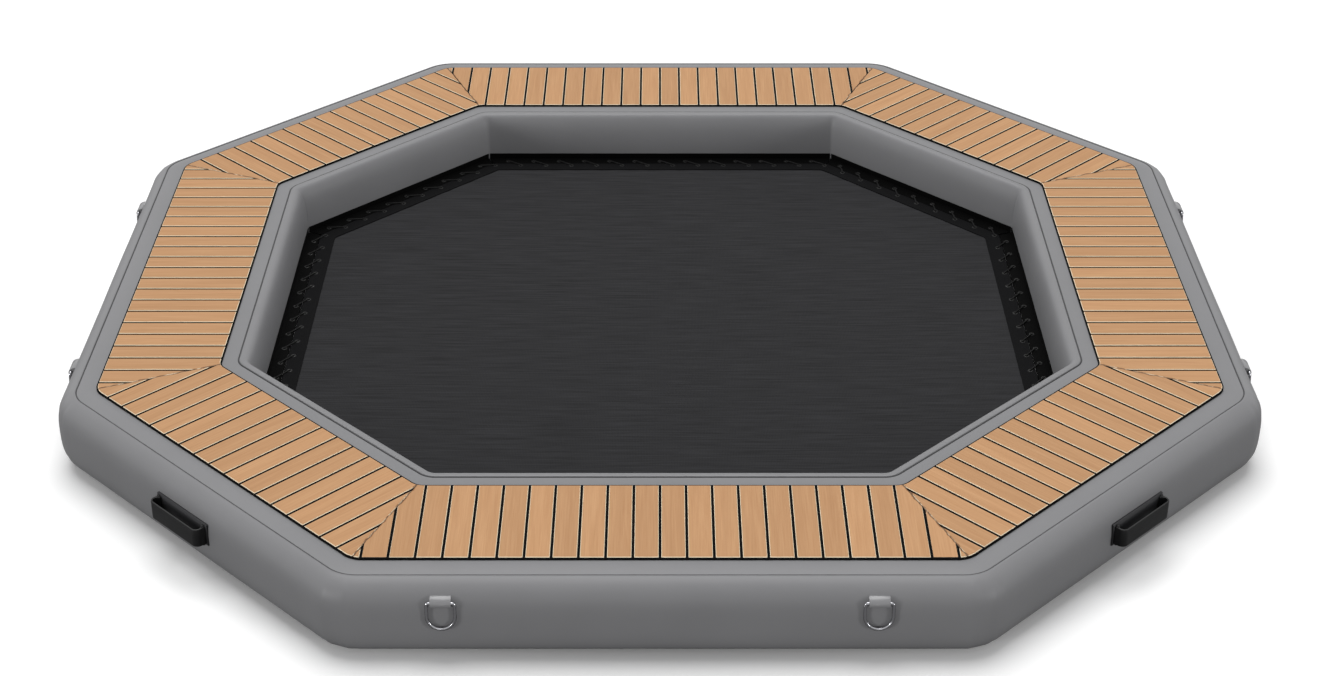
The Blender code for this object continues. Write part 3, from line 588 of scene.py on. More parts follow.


# Deck: teak-look EVA foam pads glued on the top skin, one on each side of the octagon.
# A black lower sheet carries tan planks; the router leaves black grooves, and the planks' chamfered
# edges are pale cream, partly cut foam and partly painted highlight.
DECK_OUTER_RADIUS = 0.060
DECK_INNER_RADIUS = 0.040
DECK_CORNER_STEPS = 5
DECK_LOW = TOP_SKIN_HIGH + GAP
PAD_BASE = 0.0046
PAD_HEIGHT = 0.006
PAD_CHAMFER = 0.0005
PAD_JOINT = 0.0006
PLANK_PITCH = 0.0612
PLANK_JOINT = 0.0009
PLANK_CHAMFER = 0.0013
GROOVE_WIDTH = 0.0066
BORDER_WIDTH = 0.0035
TONE_STEPS = (3.7, 11.3, 2.9)
GRAIN_STEPS = (0.71, 1.37)
LAYERS = ("plank_tone", "cut_edge_and_highlight", "under_layer")
UPRIGHT, FLAT = 0.2, 0.95
FOAM_CELL = 1 / 700
FOAM_BLACK = "#070707"


def arc(centre, radius, start, turn, steps):
    """Points of an arc as (across, up), from a start angle through a turn."""
    angles = [start + turn * k / steps for k in range(steps + 1)]
    return [(centre[0] + radius * cos(a), centre[1] + radius * sin(a)) for a in angles]


def pad_outline(side, joint, inset):
    """One pad's outline, with its outer and inner edges set in, and a joint at the mitres."""
    half_joint = joint / 2 / cos(HALF_TURN)
    edges = [(-inset, DECK_OUTER_RADIUS - inset), (-DECK_WIDTH + inset, DECK_INNER_RADIUS + inset)]
    quarter = []
    for reverse, (offset, radius) in enumerate(edges):
        along = half_length(side, offset) - radius * tan(HALF_TURN) - half_joint
        bend = arc((along, offset - radius), radius, pi / 2, -HALF_TURN, DECK_CORNER_STEPS)
        quarter += bend[::-1] if reverse else bend
    return quarter + [(-along, offset) for along, offset in quarter[::-1]]


def middle_shift(side):
    """A corner side has a plank in its middle, a main side a groove."""
    return 1 / 2 if "_" in side.name else 0


def groove_places(side):
    shift = middle_shift(side)
    count = floor(side.half / PLANK_PITCH + shift)
    places = [(k + shift) * PLANK_PITCH for k in range(-count, count)]
    return places if shift else places + [count * PLANK_PITCH]


def clipped(points, low, high):
    """The part of an outline between two lines across it, by its first coordinate."""
    for limit, sign in ((low, 1), (high, -1)):
        kept = []
        for a, b in zip(points, points[1:] + points[:1]):
            inside_a = sign * (a[0] - limit) >= 0
            inside_b = sign * (b[0] - limit) >= 0
            if inside_a:
                kept.append(a)
            if inside_a != inside_b:
                share = (limit - a[0]) / (b[0] - a[0])
                kept.append((limit, a[1] + (b[1] - a[1]) * share))
        points = kept
    return points


def area(points):
    pairs = zip(points, points[1:] + points[:1])
    return abs(sum(a[0] * b[1] - a[1] * b[0] for a, b in pairs)) / 2


def slab(name, number, outlines, low, high, chamfer):
    """Flat slabs with chamfered tops, as one mesh, with plank tone, the chamfers' cut edge and
    painted highlight, and the under layer as attributes.
    """
    side = SIDES[number]
    shape = bmesh.new()
    tops = []
    for points in outlines:
        rows = [[shape.verts.new((*on_side(side, *point), z)) for point in points]
                for z in (low, high)]
        shape.faces.new(rows[0][::-1])
        tops.append(shape.faces.new(rows[1]))
        bridged(shape, *rows)
    turn_outwards(shape)
    for face in tops:
        bmesh.ops.bevel(shape, geom=list(face.edges), offset=chamfer, segments=1,
                        affect="EDGES", clamp_overlap=True)
    shape.normal_update()
    uv = shape.loops.layers.uv.new("UVMap")
    tone, cut, under = [shape.faces.layers.float.new(layer) for layer in LAYERS]
    for face in shape.faces:
        along = (face.calc_center_median().xy - side.middle).dot(side.tangent)
        plank = floor(along / PLANK_PITCH + middle_shift(side))
        first, second, third = TONE_STEPS
        seed = (plank * first + number * second, number * third, 0.5)
        face[tone] = noise.cell(Vector(seed))
        # Chamfer faces take the pale cut edge colour: partly the cut foam, partly painted
        # highlight.
        face[cut] = UPRIGHT < face.normal.z < FLAT
        face[under] = face.normal.z < UPRIGHT
        for loop in face.loops:
            flat = loop.vert.co.xy - side.middle
            loop[uv].uv = (flat.dot(side.tangent) + plank * GRAIN_STEPS[0],
                           flat.dot(side.normal) + number * GRAIN_STEPS[1])
    return made_object(name, shape)


# Brushed EVA foam, printed as teak: matt, with streaks 3 mm wide along each plank, broader figure
# under them, and the cut edges pale cream, partly the cut foam and partly painted highlight. Along
# the mitres the cut has a brown, ragged burr.
TEAK_LIGHT = "#CDA076"
TEAK_MID = "#C3946A"
TEAK_DARK = "#AE8058"
TEAK_EDGE_HIGHLIGHT = "#F3E2C4"
MITRE_BROWN = "#6B4529"
STREAKS_PER_METRE = (300.0, 7.0, 1.0)
FIGURES_PER_METRE = (60.0, 3.0, 1.0)
FOAM_NAP = 1 / 900
BURR_SIZE = 1 / 55
BURR_WANDER = 0.007
BURR_INNER = 0.0009
BURR_OUTER = 0.0034

teak_foam, tree, shader, place = surface("eva_foam_teak_brushed", TEAK_MID, 0.78, specular=0.25)
stretch = add(tree, "Mapping", {"Vector": place["UV"], "Scale": STREAKS_PER_METRE})
grain = add(tree, "TexNoise", {"Vector": stretch, "Scale": 1.0, "Detail": 5.0, "Roughness": 0.62})
broad = add(tree, "Mapping", {"Vector": place["UV"], "Scale": FIGURES_PER_METRE})
figure = add(tree, "TexNoise", {"Vector": broad, "Scale": 1.0, "Detail": 3.0, "Distortion": 0.6})
streak = add(tree, "MapRange", {0: grain, 1: 0.35, 2: 0.65})
base = add(tree, "Mix", {0: streak, 6: TEAK_MID, 7: TEAK_LIGHT}, data_type="RGBA")
shade = add(tree, "MapRange", {0: figure, 1: 0.35, 2: 0.8, 3: 0.0, 4: 0.45})
deep = add(tree, "Mix", {0: shade, 6: base, 7: TEAK_DARK}, data_type="RGBA")
layers = [add(tree, "Attribute", attribute_name=layer).outputs["Fac"] for layer in LAYERS]
tones, cut_highlights, unders = layers
dim = add(tree, "MapRange", {0: tones, 3: 0.94, 4: 1.04})
toned = add(tree, "VectorMath", {0: deep, 3: dim}, operation="SCALE")
# The chamfers are tinted pale cream: partly the cut foam's colour, partly painted highlight.
tinted = add(tree, "Mix", {0: cut_highlights, 6: toned, 7: TEAK_EDGE_HIGHLIGHT}, data_type="RGBA")
folded = add(tree, "VectorMath", {0: place["Object"]}, operation="ABSOLUTE")
ragged = add(tree, "TexNoise", {"Vector": place["Object"], "Scale": 1 / BURR_SIZE, "Detail": 3.0})
wander = add(tree, "MapRange", {0: ragged, 3: -BURR_WANDER, 4: BURR_WANDER})
front, right = SIDES[0], SIDES[2]
for x, y, angle in (
    (front.half, -front.middle.y, 3 * HALF_TURN),
    (right.middle.x, right.half, HALF_TURN),
):
    across = Vector((sin(angle), -cos(angle), 0))
    away = add(tree, "VectorMath", {0: folded, 1: across}, operation="DOT_PRODUCT")
    signed = add(tree, "Math", {0: away, 1: across.dot(Vector((x, y, 0)))}, operation="SUBTRACT")
    moved = add(tree, "Math", {0: signed, 1: wander}, operation="ADD")
    apart = add(tree, "Math", {0: moved}, operation="ABSOLUTE")
    line = add(tree, "MapRange", {0: apart, 1: BURR_INNER, 2: BURR_OUTER, 3: 0.85, 4: 0.0})
    tinted = add(tree, "Mix", {0: line, 6: tinted, 7: MITRE_BROWN}, data_type="RGBA")
layered = add(tree, "Mix", {0: unders, 6: tinted, 7: FOAM_BLACK}, data_type="RGBA")
nap = add(tree, "TexNoise", {"Vector": place["UV"], "Scale": 1 / FOAM_NAP, "Detail": 2.0})
height = add(tree, "Math", {0: grain, 1: nap}, operation="ADD")
bump = add(tree, "Bump", {"Height": height, "Strength": 0.35, "Distance": 0.0004})
feed(tree, shader, {"Base Color": layered, "Normal": bump})

black_foam = lumpy("eva_foam_black", FOAM_BLACK, 0.9, FOAM_CELL, 0.4, 0.0004, specular=0.08)[0]
for number, side in enumerate(SIDES):
    seat = DECK_LOW + PAD_BASE
    base = slab("deck_base_" + side.name, number, [pad_outline(side, PAD_JOINT, 0)], DECK_LOW,
                seat, PAD_CHAMFER)
    dress(base, black_foam, "teak_foam")
    whole = pad_outline(side, PLANK_JOINT, BORDER_WIDTH)
    lines = [-side.half - DECK_WIDTH, *groove_places(side), side.half + DECK_WIDTH]
    outlines = []
    for low, high in zip(lines, lines[1:]):
        plank = clipped(whole, low + GROOVE_WIDTH / 2, high - GROOVE_WIDTH / 2)
        if len(plank) > 2 and area(plank) > PAD_HEIGHT**2:
            outlines.append(plank)
    planks = slab("deck_planks_" + side.name, number, outlines, seat, DECK_LOW + PAD_HEIGHT,
                  PLANK_CHAMFER)
    dress(planks, teak_foam, "teak_foam", "deck_pad_" + side.name)


# Mesh floor: a taut sheet of fine black polyester mesh, sewn under a tape hem.
# It dips a little in the middle and is drawn up in small waves where the lacing pulls.
FLOOR_HEIGHT = 0.066
MESH_THICKNESS = 0.0012
FLAP_WIDTH = 0.037
FLAP_LEG = 0.016
FLAP_END_CLEARANCE = 0.0025
LEG_STEPS = 4
LACING_SPAN = 0.002
HEM_WIDTH = 0.043
HEM_CORNER_RADIUS = 0.018
MESH_UNDER_HEM = 0.018
STRIP_THICKNESS = 0.002
STRIP_TOP = FLOOR_HEIGHT + STRIP_THICKNESS
STRIP_EDGE = STRIP_THICKNESS / 5
EYELET_SIZE = 0.009
EYELET_INSET = 0.014
LACING_PITCH = 0.077
FLAP_OUTER = INNER_FACE - GAP
FLAP_INNER = FLAP_OUTER - FLAP_WIDTH
HEM_OUTER = FLAP_INNER - LACING_SPAN
HEM_INNER = HEM_OUTER - HEM_WIDTH
MESH_EDGE = HEM_INNER + MESH_UNDER_HEM
MESH_SAG = 0.006
MESH_RINGS = 26
MESH_RING_POWER = 1.15
MESH_STEP = 0.04
PULL_DEPTH = 0.0006
PULL_RINGS = 4

shape = bmesh.new()
rings = []
mesh_top = FLOOR_HEIGHT - GAP
edge = round_path(MESH_EDGE, HEM_CORNER_RADIUS, 2, MESH_STEP)
for k in range(MESH_RINGS):
    share = 1 - (k / MESH_RINGS) ** MESH_RING_POWER
    dip = MESH_SAG * (1 - share**2)
    drawn = PULL_DEPTH * max(0.0, 1 - k / PULL_RINGS) * (k > 0)
    ring = []
    for stop in edge:
        pull = drawn * sin(2 * pi * stop.along / LACING_PITCH)
        ring.append(shape.verts.new((*(stop.place * share), mesh_top - dip - pull)))
    rings.append(ring)
for outer, inner in zip(rings, rings[1:]):
    bridged(shape, outer, inner)
middle = shape.verts.new((0, 0, mesh_top - MESH_SAG))
for first, second in zip(ring, ring[1:] + ring[:1]):
    shape.faces.new((first, second, middle))
turn_outwards(shape)
if shape.faces[0].normal.z < 0:
    bmesh.ops.reverse_faces(shape, faces=shape.faces)
mesh_sheet = made_object("mesh_floor_sheet", shape)
mesh_sheet.data.shade_smooth()
thick = mesh_sheet.modifiers.new("thickness", "SOLIDIFY")
thick.thickness = MESH_THICKNESS
thick.offset = -1.0
mesh_sheet = settle(mesh_sheet)

# Polyester mesh: dyed black, with slubs that run across the platform as faint pale streaks.
# The threads are drawn at 4 mm, coarser than real, so that they show at all.
MESH_DARK = "#262627"
MESH_LIGHT = "#373739"
MESH_THREAD = 0.003925
SLUBS_PER_METRE = (6.0, 170.0, 1.0)
mesh_cloth, tree, shader, place = surface("polyester_mesh_black", MESH_DARK, 0.85, specular=0.08)
stretch = add(tree, "Mapping", {"Vector": place["Object"], "Scale": SLUBS_PER_METRE})
slubs = add(tree, "TexNoise", {"Vector": stretch, "Scale": 1.0, "Detail": 4.0, "Roughness": 0.65})
streak = add(tree, "MapRange", {0: slubs, 1: 0.3, 2: 0.7})
tone = add(tree, "Mix", {0: streak, 6: MESH_DARK, 7: MESH_LIGHT}, data_type="RGBA")
threads = weave(tree, place["Object"], MESH_THREAD)
bump = add(tree, "Bump", {"Height": threads, "Strength": 0.3, "Distance": 0.0005})
feed(tree, shader, {"Base Color": tone, "Normal": bump})
dress(mesh_sheet, mesh_cloth, "black_mesh", "mesh_panel")

# Hem and flaps: the hem is black polyester tape folded over the mesh's edge. Each flap is
# an angle strip of black polypropylene webbing, welded to the wall. Both carry the eyelets.
# The flaps are coloured a darker black than the hem: painted shade along the foot of the wall.
EYELET_ROWS = {"flap": (FLAP_INNER + EYELET_INSET, 1 / 2), "hem": (HEM_OUTER - EYELET_INSET, 1)}
TAPE_RIB = 0.00157
TAPE_FUZZ = 1 / 260


def eyelet_centres(side, row):
    """Centres of one row's eyelets: the flap's stand half a pitch before the hem's."""
    offset, shift = EYELET_ROWS[row]
    half = half_length(side, EYELET_ROWS["hem"][0])
    count = max(2, round(2 * half / LACING_PITCH))
    return [on_side(side, -half + (k + shift) * 2 * half / count, offset) for k in range(count)]


def outlined(name, loops, cyclic, radius, steps, **settings):
    """A curve object through lists of points, rounded or swollen by the radius."""
    data = bpy.data.curves.new(name, "CURVE")
    for setting, value in settings.items():
        setattr(data, setting, value)
    data.bevel_depth = radius
    data.bevel_resolution = steps
    for loop in loops:
        spline = data.splines.new("POLY")
        spline.points.add(len(loop) - 1)
        for point, co in zip(spline.points, loop):
            point.co = Vector(co).to_4d()
        spline.use_cyclic_u = cyclic
    return link_object(name, data)


def filled(name, loops, low, high, edge):
    """A flat sheet with holes from flat outlines, with its rims rounded by the edge."""
    item = outlined(name, loops, True, edge, 1, dimensions="2D", fill_mode="BOTH",
                    extrude=(high - low) / 2 - edge, offset=-edge)
    item.location.z = (low + high) / 2
    return settle(item)


def eyelet_loops(side, row):
    holes = eyelet_centres(side, row)
    return [arc(hole, EYELET_SIZE / 2, 0, 2 * pi, 16)[:-1] for hole in holes]


def woven_tape(name, colour):
    """Woven tape: black, slightly shiny, with ribs across it 1.6 mm apart."""
    made, tree, shader, place = surface(name, colour, 0.85, specular=0.05)
    ribs = add(tree, "TexWave", {"Vector": place["Object"], "Scale": WAVE_PERIOD / TAPE_RIB},
               bands_direction="DIAGONAL")
    fuzz = add(tree, "TexNoise", {"Vector": place["Object"], "Scale": 1 / TAPE_FUZZ, "Detail": 2.0})
    both = add(tree, "Math", {0: ribs.outputs["Fac"], 1: fuzz}, operation="ADD")
    bump = add(tree, "Bump", {"Height": both, "Strength": 0.5, "Distance": 0.0006})
    feed(tree, shader, {"Normal": bump})
    return made


# Flap webbing darker, hem tape lighter: a two-step painted shading across the band, darkest by the
# wall.
flap_webbing_shaded = woven_tape("polypropylene_webbing_black", "#030303")
hem_webbing = woven_tape("polyester_hem_tape_black", "#121213")
hem_loops = []
for offset in (HEM_OUTER, HEM_INNER):
    path = round_path(offset, HEM_CORNER_RADIUS, 4, WHOLE_STRAIGHT)
    hem_loops.append([stop.place for stop in path])
for side in SIDES:
    hem_loops += eyelet_loops(side, "hem")
hem = filled("mesh_hem_webbing", hem_loops, FLOOR_HEIGHT, STRIP_TOP, STRIP_EDGE)
dress(hem, hem_webbing, "black_webbing", "mesh_hem")


def flap_corner(side, sign, offset):
    """A place on one of the flap's mitred ends."""
    return on_side(side, sign * (half_length(side, offset) - FLAP_END_CLEARANCE), offset)


def upright_leg(name, side):
    """The welded leg of a flap: it leans with the bulged wall, and its ends are mitred."""
    section = []
    for k in range(LEG_STEPS + 1):
        height = STRIP_TOP + FLAP_LEG * k / LEG_STEPS
        section.append((INNER_TANGENT - bulge(height, INNER_BULGE) - GAP, height))
    section += [(offset - STRIP_THICKNESS, height) for offset, height in section[::-1]]
    shape = bmesh.new()
    ends = [[shape.verts.new((*flap_corner(side, sign, offset), height))
             for offset, height in section] for sign in (-1, 1)]
    bridged(shape, *ends)
    for row in ends:
        shape.faces.new(row)
    turn_outwards(shape)
    return made_object(name, shape)


for side in SIDES:
    ends = ((-1, FLAP_INNER), (1, FLAP_INNER), (1, FLAP_OUTER), (-1, FLAP_OUTER))
    loops = [[flap_corner(side, *end) for end in ends]] + eyelet_loops(side, "flap")
    name = "lacing_flap_leg_" + side.name
    flat_leg = filled(name, loops, FLOOR_HEIGHT, STRIP_TOP, STRIP_EDGE)
    dress(flat_leg, flap_webbing_shaded, "black_webbing", "lacing_flap_" + side.name)
    dress(upright_leg("lacing_flap_weld_" + side.name, side), flap_webbing_shaded, "black_webbing")

# Eyelets: rolled brass rings, blackened, one round each lacing hole.
# They are set as points with the place of each hole and made by one node tree.
EYELET_FLANGE = 0.0032
EYELET_ROLL = 0.0009
BRASS_PATCH = 1 / 220


def eyelet_tree():
    """One flattened roll of metal on every point."""
    tree = bpy.data.node_groups.new("rolled_eyelets", "GeometryNodeTree")
    kinds = {"Geometry": "Geometry", "Ring radius": "Float", "Roll radius": "Float",
             "Flattening": "Float", "Material": "Material"}
    for name, kind in kinds.items():
        tree.interface.new_socket(name, in_out="INPUT", socket_type="NodeSocket" + kind)
    tree.interface.new_socket("Geometry", in_out="OUTPUT", socket_type="NodeSocketGeometry")
    given = add(tree, "NodeGroupInput").outputs
    ring = add(tree, "GeometryNodeCurvePrimitiveCircle",
               {"Resolution": 16, "Radius": given["Ring radius"]})
    roll = add(tree, "GeometryNodeCurvePrimitiveCircle",
               {"Resolution": 6, "Radius": given["Roll radius"]})
    shape = add(tree, "CombineXYZ", {"X": given["Flattening"], "Y": 1.0, "Z": 1.0})
    flat = add(tree, "GeometryNodeTransform", {"Geometry": roll, "Scale": shape})
    body = add(tree, "GeometryNodeCurveToMesh", {"Curve": ring, "Profile Curve": flat})
    smooth = add(tree, "GeometryNodeSetShadeSmooth", {"Geometry": body})
    copies = add(tree, "GeometryNodeInstanceOnPoints",
                 {"Points": given["Geometry"], "Instance": smooth})
    real = add(tree, "GeometryNodeRealizeInstances", {"Geometry": copies})
    coloured = add(tree, "GeometryNodeSetMaterial",
                   {"Geometry": real, "Material": given["Material"]})
    add(tree, "NodeGroupOutput", {"Geometry": coloured})
    return tree


def rubbed(tree, shader, place, patch, low, high, detail=3.0):
    """Lets a material's roughness wander between two values, in patches of a size in metres."""
    spots = add(tree, "TexNoise", {"Vector": place["Object"], "Scale": 1 / patch, "Detail": detail})
    rough = add(tree, "MapRange", {0: spots, 3: low, 4: high})
    feed(tree, shader, {"Roughness": rough})


black_brass, *parts = surface("blackened_brass", "#141413", 0.5, metallic=0.3)
rubbed(*parts, BRASS_PATCH, 0.42, 0.6, detail=2.0)
holes = []
for side in SIDES:
    for row in EYELET_ROWS:
        holes += [(*centre, STRIP_TOP) for centre in eyelet_centres(side, row)]
mesh = bpy.data.meshes.new("lacing_eyelets")
mesh.from_pydata(holes, [], [])
eyelets = link_object("lacing_eyelets", mesh)
modifier = eyelets.modifiers.new("nodes", "NODES")
modifier.node_group = eyelet_tree()
sizes = {"Ring radius": (EYELET_SIZE + EYELET_FLANGE) / 2, "Roll radius": EYELET_ROLL,
         "Flattening": EYELET_FLANGE / 2 / EYELET_ROLL, "Material": black_brass}
for socket in modifier.node_group.interface.items_tree:
    if socket.name in sizes:
        modifier[socket.identifier] = sizes[socket.name]
dress(settle(eyelets), black_brass, "black_webbing")

# Lacing cord: black braided polyester, 4 mm thick, threaded from eyelet to eyelet.
# It crosses over the strips on its way out to a flap and under them on its way back.
LACE_RADIUS = 0.002
LACE_TAIL = 0.012
LACE_BEND = 0.004
BRAID_PITCH = 0.0019625
BRAID_DARK = "#080808"
BRAID_PAINTED_HIGHLIGHT = "#242424"


def lacing_route():
    """The cord's way as points, from its tail under the hem to its last eyelet."""
    over = STRIP_TOP + GAP + LACE_RADIUS
    under = FLOOR_HEIGHT - GAP - LACE_RADIUS
    first = SIDES[-1]
    start = eyelet_centres(first, "hem")[-1]
    tail = start - first.tangent * LACE_TAIL
    route = [(*tail, under), (*start, under), (*start, over)]
    for side in SIDES:
        for flap_eye, hem_eye in zip(eyelet_centres(side, "flap"), eyelet_centres(side, "hem")):
            route += [(*flap_eye, over), (*flap_eye, under), (*hem_eye, under), (*hem_eye, over)]
    route = [Vector(point) for point in route]
    last_run = route[-3] - route[-2]
    return route[:-2] + [route[-2] + last_run.normalized() * EYELET_SIZE]


def eased(points, reach, steps):
    """Corners of a route rounded off, each within a set reach of its point."""
    made = [points[0]]
    for a, b, c in zip(points, points[1:], points[2:]):
        before = b + (a - b).normalized() * min(reach, (a - b).length / 2)
        after = b + (c - b).normalized() * min(reach, (c - b).length / 2)
        for k in range(steps + 1):
            share = k / steps
            near = before * (1 - share) ** 2 + b * 2 * share * (1 - share)
            made.append(near + after * share**2)
    return made + [points[-1]]


def tube(name, points, radius, steps, cyclic=False):
    """A round tube along the points, with flat caps where it isn't closed on itself."""
    item = settle(outlined(name, [points], cyclic, radius, steps, dimensions="3D",
                           use_fill_caps=not cyclic))
    shape = bmesh.new()
    shape.from_mesh(item.data)
    bmesh.ops.remove_doubles(shape, verts=shape.verts, dist=radius / 100)
    turn_outwards(shape)
    for face in shape.faces:
        face.smooth = len(face.verts) < 5
    shape.to_mesh(item.data)
    shape.free()
    return item


braid, tree, shader, place = surface("braided_polyester_cord_black", "#141414", 0.75, specular=0.15)
plait = add(tree, "TexWave",
            {"Vector": place["Object"], "Scale": WAVE_PERIOD / BRAID_PITCH, "Distortion": 3.0},
            bands_direction="DIAGONAL").outputs["Fac"]
# The braid's crests are coloured a paler grey: painted highlight on the strands.
tone = add(tree, "Mix", {0: plait, 6: BRAID_DARK, 7: BRAID_PAINTED_HIGHLIGHT}, data_type="RGBA")
bump = add(tree, "Bump", {"Height": plait, "Strength": 0.6, "Distance": 0.0005})
feed(tree, shader, {"Base Color": tone, "Normal": bump})
cord = tube("lacing_cord_braid", eased(lacing_route(), LACE_BEND, 3), LACE_RADIUS, 2)
dress(cord, braid, "black_cord", "lacing_cord")


# D-rings: 7.5 mm polished stainless wire, bent to a D and welded, free to swing in a keeper.
# The keeper is a glossy grey PVC sleeve folded round the bar and welded to the wall.
RING_WIRE_RADIUS = 0.00375
RING_HALF_WIDTH = 0.03175
RING_REACH = 0.0675
RING_CORNER = 0.006
RING_DROP = 0.045
RING_PLACE_SHARE = 0.702
RING_CLEARANCE = 0.0004
KEEPER_HALF = 0.0238
KEEPER_HALF_HEIGHT = 0.012
KEEPER_STRAP = 0.0016
KEEPER_EDGE = 0.0007
KEEPER_LUMP = 1 / 60
STEEL_PATCH = 1 / 90
KEEPER_BORE = RING_WIRE_RADIUS + RING_CLEARANCE
HINGE_HEIGHT = RING_HEIGHT - RING_DROP
HINGE_OFFSET = hinge_face(HINGE_HEIGHT) + GAP + KEEPER_STRAP + KEEPER_BORE
CREASE = pi / 5


def frame_matrix(side, along, offset, height, x_axis, y_axis):
    place = on_side(side, along, offset)
    matrix = Matrix((x_axis, y_axis, x_axis.cross(y_axis))).transposed().to_4x4()
    return Matrix.Translation((*place, height)) @ matrix


def standing(*place):
    """Local X along the side (clockwise seen from above), Y outwards, Z up."""
    return frame_matrix(*place, -place[0].tangent.to_3d(), place[0].normal.to_3d())


def sectioning(*place):
    """Local X outwards, Y up, Z along the side: the frame of an extruded section."""
    return frame_matrix(*place, place[0].normal.to_3d(), Vector((0, 0, 1)))


def ring_lean():
    """The angle at which a hanging ring just clears the wall."""
    leans = []
    for k in range(1, 17):
        drop = RING_REACH * k / 16
        clear = hinge_face(HINGE_HEIGHT - drop) + RING_WIRE_RADIUS + RING_CLEARANCE
        leans.append(atan2(clear - HINGE_OFFSET, drop))
    return max(leans)


def ring_points():
    """The middle line of the wire, hanging down from the straight bar of the D."""
    corner = RING_CORNER
    inner = RING_HALF_WIDTH - corner
    points = arc((inner, -corner), corner, pi / 2, -pi / 2, 6)
    points += arc((0, RING_HALF_WIDTH - RING_REACH), RING_HALF_WIDTH, 0, -pi, 32)
    points += arc((-inner, -corner), corner, pi, -pi / 2, 6)
    return [Vector((across, 0, up)) for across, up in points]


def extruded(name, loops, half, matrix, edge):
    """A section with holes, thickened both ways from its plane, with rounded rims."""
    item = filled(name, loops, -half, half, edge)
    item.data.transform(matrix)
    return item


def on_wall(middle, half, steps):
    """Points up the outer wall's outside as (offset, height), round a middle height."""
    heights = [middle + k * half / steps for k in range(-steps, steps + 1)]
    return [(wall_face(height) + GAP, height) for height in heights]


def keeper_section():
    points = on_wall(HINGE_HEIGHT, KEEPER_HALF_HEIGHT, 4)
    low, high = points[0][0], points[-1][0]
    depth = HINGE_OFFSET + KEEPER_BORE + KEEPER_STRAP - (low + high) / 2
    for k in range(1, 24):
        angle = pi / 2 - k * pi / 24
        height = HINGE_HEIGHT + KEEPER_HALF_HEIGHT * sin(angle)
        share = (sin(angle) + 1) / 2
        points.append((low + (high - low) * share + depth * cos(angle), height))
    return [(out - HINGE_OFFSET, height - HINGE_HEIGHT) for out, height in points]


steel, *parts = surface("polished_stainless_steel", "#A2A2A6", 0.18, metallic=1.0)
rubbed(*parts, STEEL_PATCH, 0.14, 0.26)
sleeve = lumpy("pvc_sleeve_gloss_grey", "#878789", 0.22, KEEPER_LUMP, 0.15, 0.0005)[0]
bore = arc((0, 0), KEEPER_BORE, 0, 2 * pi, 24)[:-1]
main_sides = SIDES[::2]
for i, side in enumerate(main_sides):
    for step in (-1, 1):
        place = (side, step * RING_PLACE_SHARE * side.half, HINGE_OFFSET, HINGE_HEIGHT)
        label = side.name + "_" + main_sides[(i + step) % len(main_sides)].name
        keeper = extruded("keeper_sleeve_" + label, [keeper_section(), bore],
                          KEEPER_HALF, sectioning(*place), KEEPER_EDGE)
        dress(softened(keeper, CREASE), sleeve, "grey_keeper", "ring_keeper_" + label)
        hung = standing(*place) @ Matrix.Rotation(ring_lean(), 4, "X")
        wire = [hung @ point for point in ring_points()]
        ring = tube("d_ring_wire_" + label, wire, RING_WIRE_RADIUS, 4, True)
        dress(ring, steel, "stainless", "d_ring_" + label, body="d_ring_" + label)


# Carry handles: a black moulded rubber strap on each corner side, standing off a dark plate.
# Its thick feet are pinned through the plate.
HANDLE_LENGTH = 0.190
HANDLE_HEIGHT = 0.048
HANDLE_MIDDLE = 0.121
HANDLE_STANDOFF = 0.033
HANDLE_STRAP = 0.0045
HANDLE_CORNER = 0.016
FOOT_LENGTH = 0.012
FOOT_DEPTH = 0.008
HANDLE_EDGE = 0.0014
PIN_RADIUS = 0.0035
PIN_HEIGHT = 0.004
BACKING_THICKNESS = 0.003
BACKING_MARGIN = 0.005
BACKING_EDGE = 0.0006
RUBBER_PATCH = 1 / 30


def handle_outline():
    """The strap and its feet as (along, outwards), outside first."""
    half = HANDLE_LENGTH / 2
    reach = HANDLE_STANDOFF - BACKING_THICKNESS - GAP
    centre = (half - HANDLE_CORNER, reach - HANDLE_CORNER)
    outside = [(half, GAP)] + arc(centre, HANDLE_CORNER, 0, pi / 2, 12)
    foot = half - FOOT_LENGTH
    inside = [(foot, GAP), (foot, FOOT_DEPTH / 2), (half - HANDLE_STRAP, FOOT_DEPTH * 3 / 2)]
    inside += arc(centre, HANDLE_CORNER - HANDLE_STRAP, 0, pi / 2, 12)

    def left_of(points):
        return [(-along, out) for along, out in points[::-1]]

    return outside + left_of(outside) + left_of(inside)[::-1] + inside[::-1]


def backing_section():
    """The plate's section: its back follows the wall, its front is flat."""
    half = HANDLE_HEIGHT / 2 + BACKING_MARGIN
    points = on_wall(HANDLE_MIDDLE, half, 6)
    front = OUTER_REACH + GAP + BACKING_THICKNESS
    points += [(front, HANDLE_MIDDLE + half), (front, HANDLE_MIDDLE - half)]
    return [(out - OUTER_REACH, height - HANDLE_MIDDLE) for out, height in points]


def moulded(name, colour, roughness, grit):
    """Injection-moulded part with a fine spark-eroded grain, its pitch given in metres."""
    made, *parts = lumpy(name, colour, roughness, grit, 0.3, grit / 6, specular=0.3)
    rubbed(*parts, RUBBER_PATCH, roughness - 0.06, roughness + 0.08)
    return made


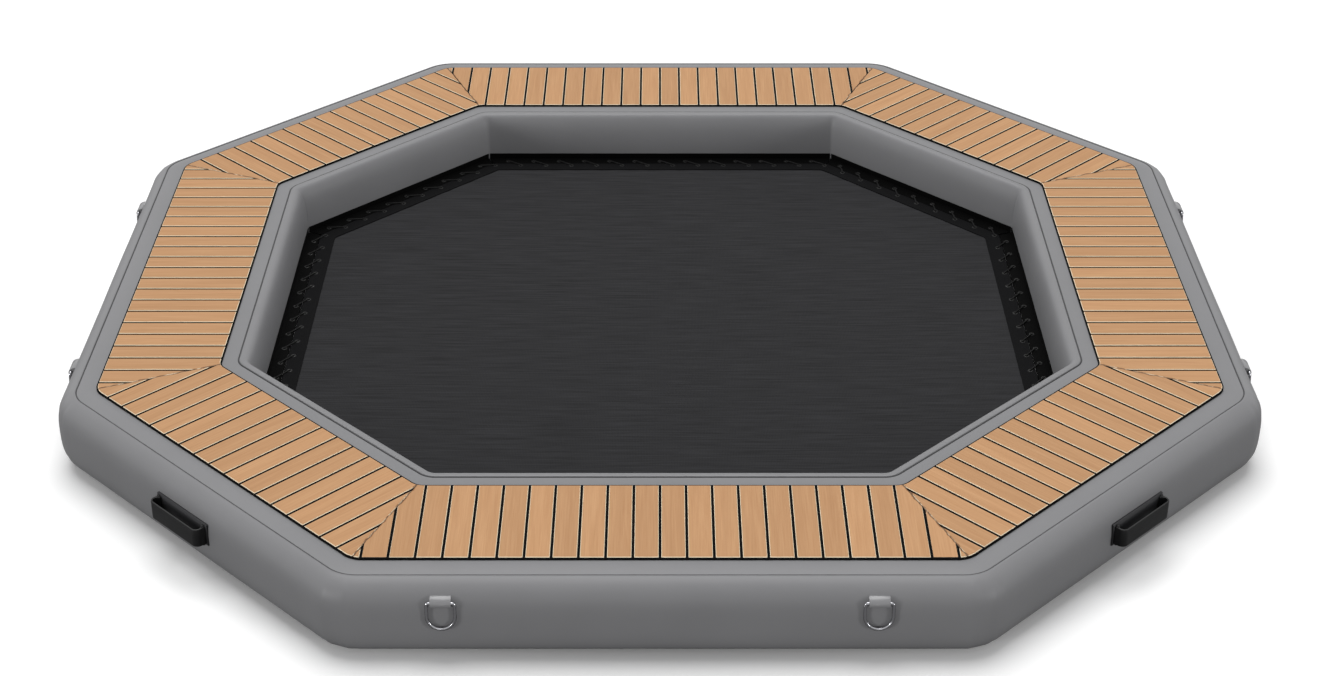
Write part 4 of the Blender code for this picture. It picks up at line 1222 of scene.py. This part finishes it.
handle_rubber = moulded("moulded_rubber_black", "#0E0E0F", 0.42, 0.0012)
plate_rubber = moulded("rubber_plate_dark_grey", "#262628", 0.6, 0.0015)
for side in SIDES[1::2]:
    place = sectioning(side, 0, OUTER_REACH, HANDLE_MIDDLE)
    backing = extruded("handle_plate_" + side.name, [backing_section()],
                       HANDLE_LENGTH / 2 + BACKING_MARGIN, place, BACKING_EDGE)
    dress(backing, plate_rubber, "dark_backing", "handle_backing_" + side.name)
    upright = standing(side, 0, OUTER_REACH + GAP + BACKING_THICKNESS, HANDLE_MIDDLE)
    handle = extruded("handle_strap_" + side.name, [handle_outline()], HANDLE_HEIGHT / 2,
                      upright, HANDLE_EDGE)
    dress(softened(handle, CREASE), handle_rubber, "black_rubber", "handle_" + side.name)
    for sign, end in ((-1, "a"), (1, "b")):
        top = HANDLE_HEIGHT / 2 + PIN_HEIGHT
        along = sign * (HANDLE_LENGTH - FOOT_LENGTH) / 2
        axis = [upright @ Vector((along, PIN_RADIUS * 1.2, z)) for z in (-top, top)]
        pin = tube(f"handle_pin_{side.name}_{end}", axis, PIN_RADIUS, 4)
        dress(pin, handle_rubber, "black_rubber")


# Inflation valve in the back wall: moulded black nylon body, sprung stem and strapped cap.
# The body's flange clamps the wall against a ring nut inside, and the stem seals on a rubber.
valve_nylon = moulded("moulded_nylon_black", "#2A2A2C", 0.4, 0.001)
seal_rubber = moulded("valve_seal_rubber", "#121212", 0.6, 0.001)
for part in ("body", "nut", "stem", "cap", "tether", "seal"):
    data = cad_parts["valve_" + part].data
    data.materials.clear()
    data.materials.append(seal_rubber if part == "seal" else valve_nylon)

# Return spring of the valve: thin stainless wire in five turns between the spider and the button.
# On the real valve it shortens towards the spider as the stem is pressed; here it is drawn at rest.
SPRING_RADIUS = 0.0055
SPRING_WIRE = 0.0006
SPRING_TURNS = 5
SPRING_STEPS = 16
SPRING_LOW = -0.0163
SPRING_HIGH = -0.0036
coil = []
for k in range(SPRING_TURNS * SPRING_STEPS + 1):
    angle = 2 * pi * k / SPRING_STEPS
    share = k / (SPRING_TURNS * SPRING_STEPS)
    depth = HALF_DEPTH + SPRING_LOW + (SPRING_HIGH - SPRING_LOW) * share
    across, up = SPRING_RADIUS * cos(angle), SPRING_RADIUS * sin(angle)
    coil.append(Vector((across, depth, RING_MIDDLE + up)))
spring = tube("valve_spring_wire", coil, SPRING_WIRE, 2)
dress(spring, steel, "stainless", "valve_spring")
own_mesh(spring)

low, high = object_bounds()
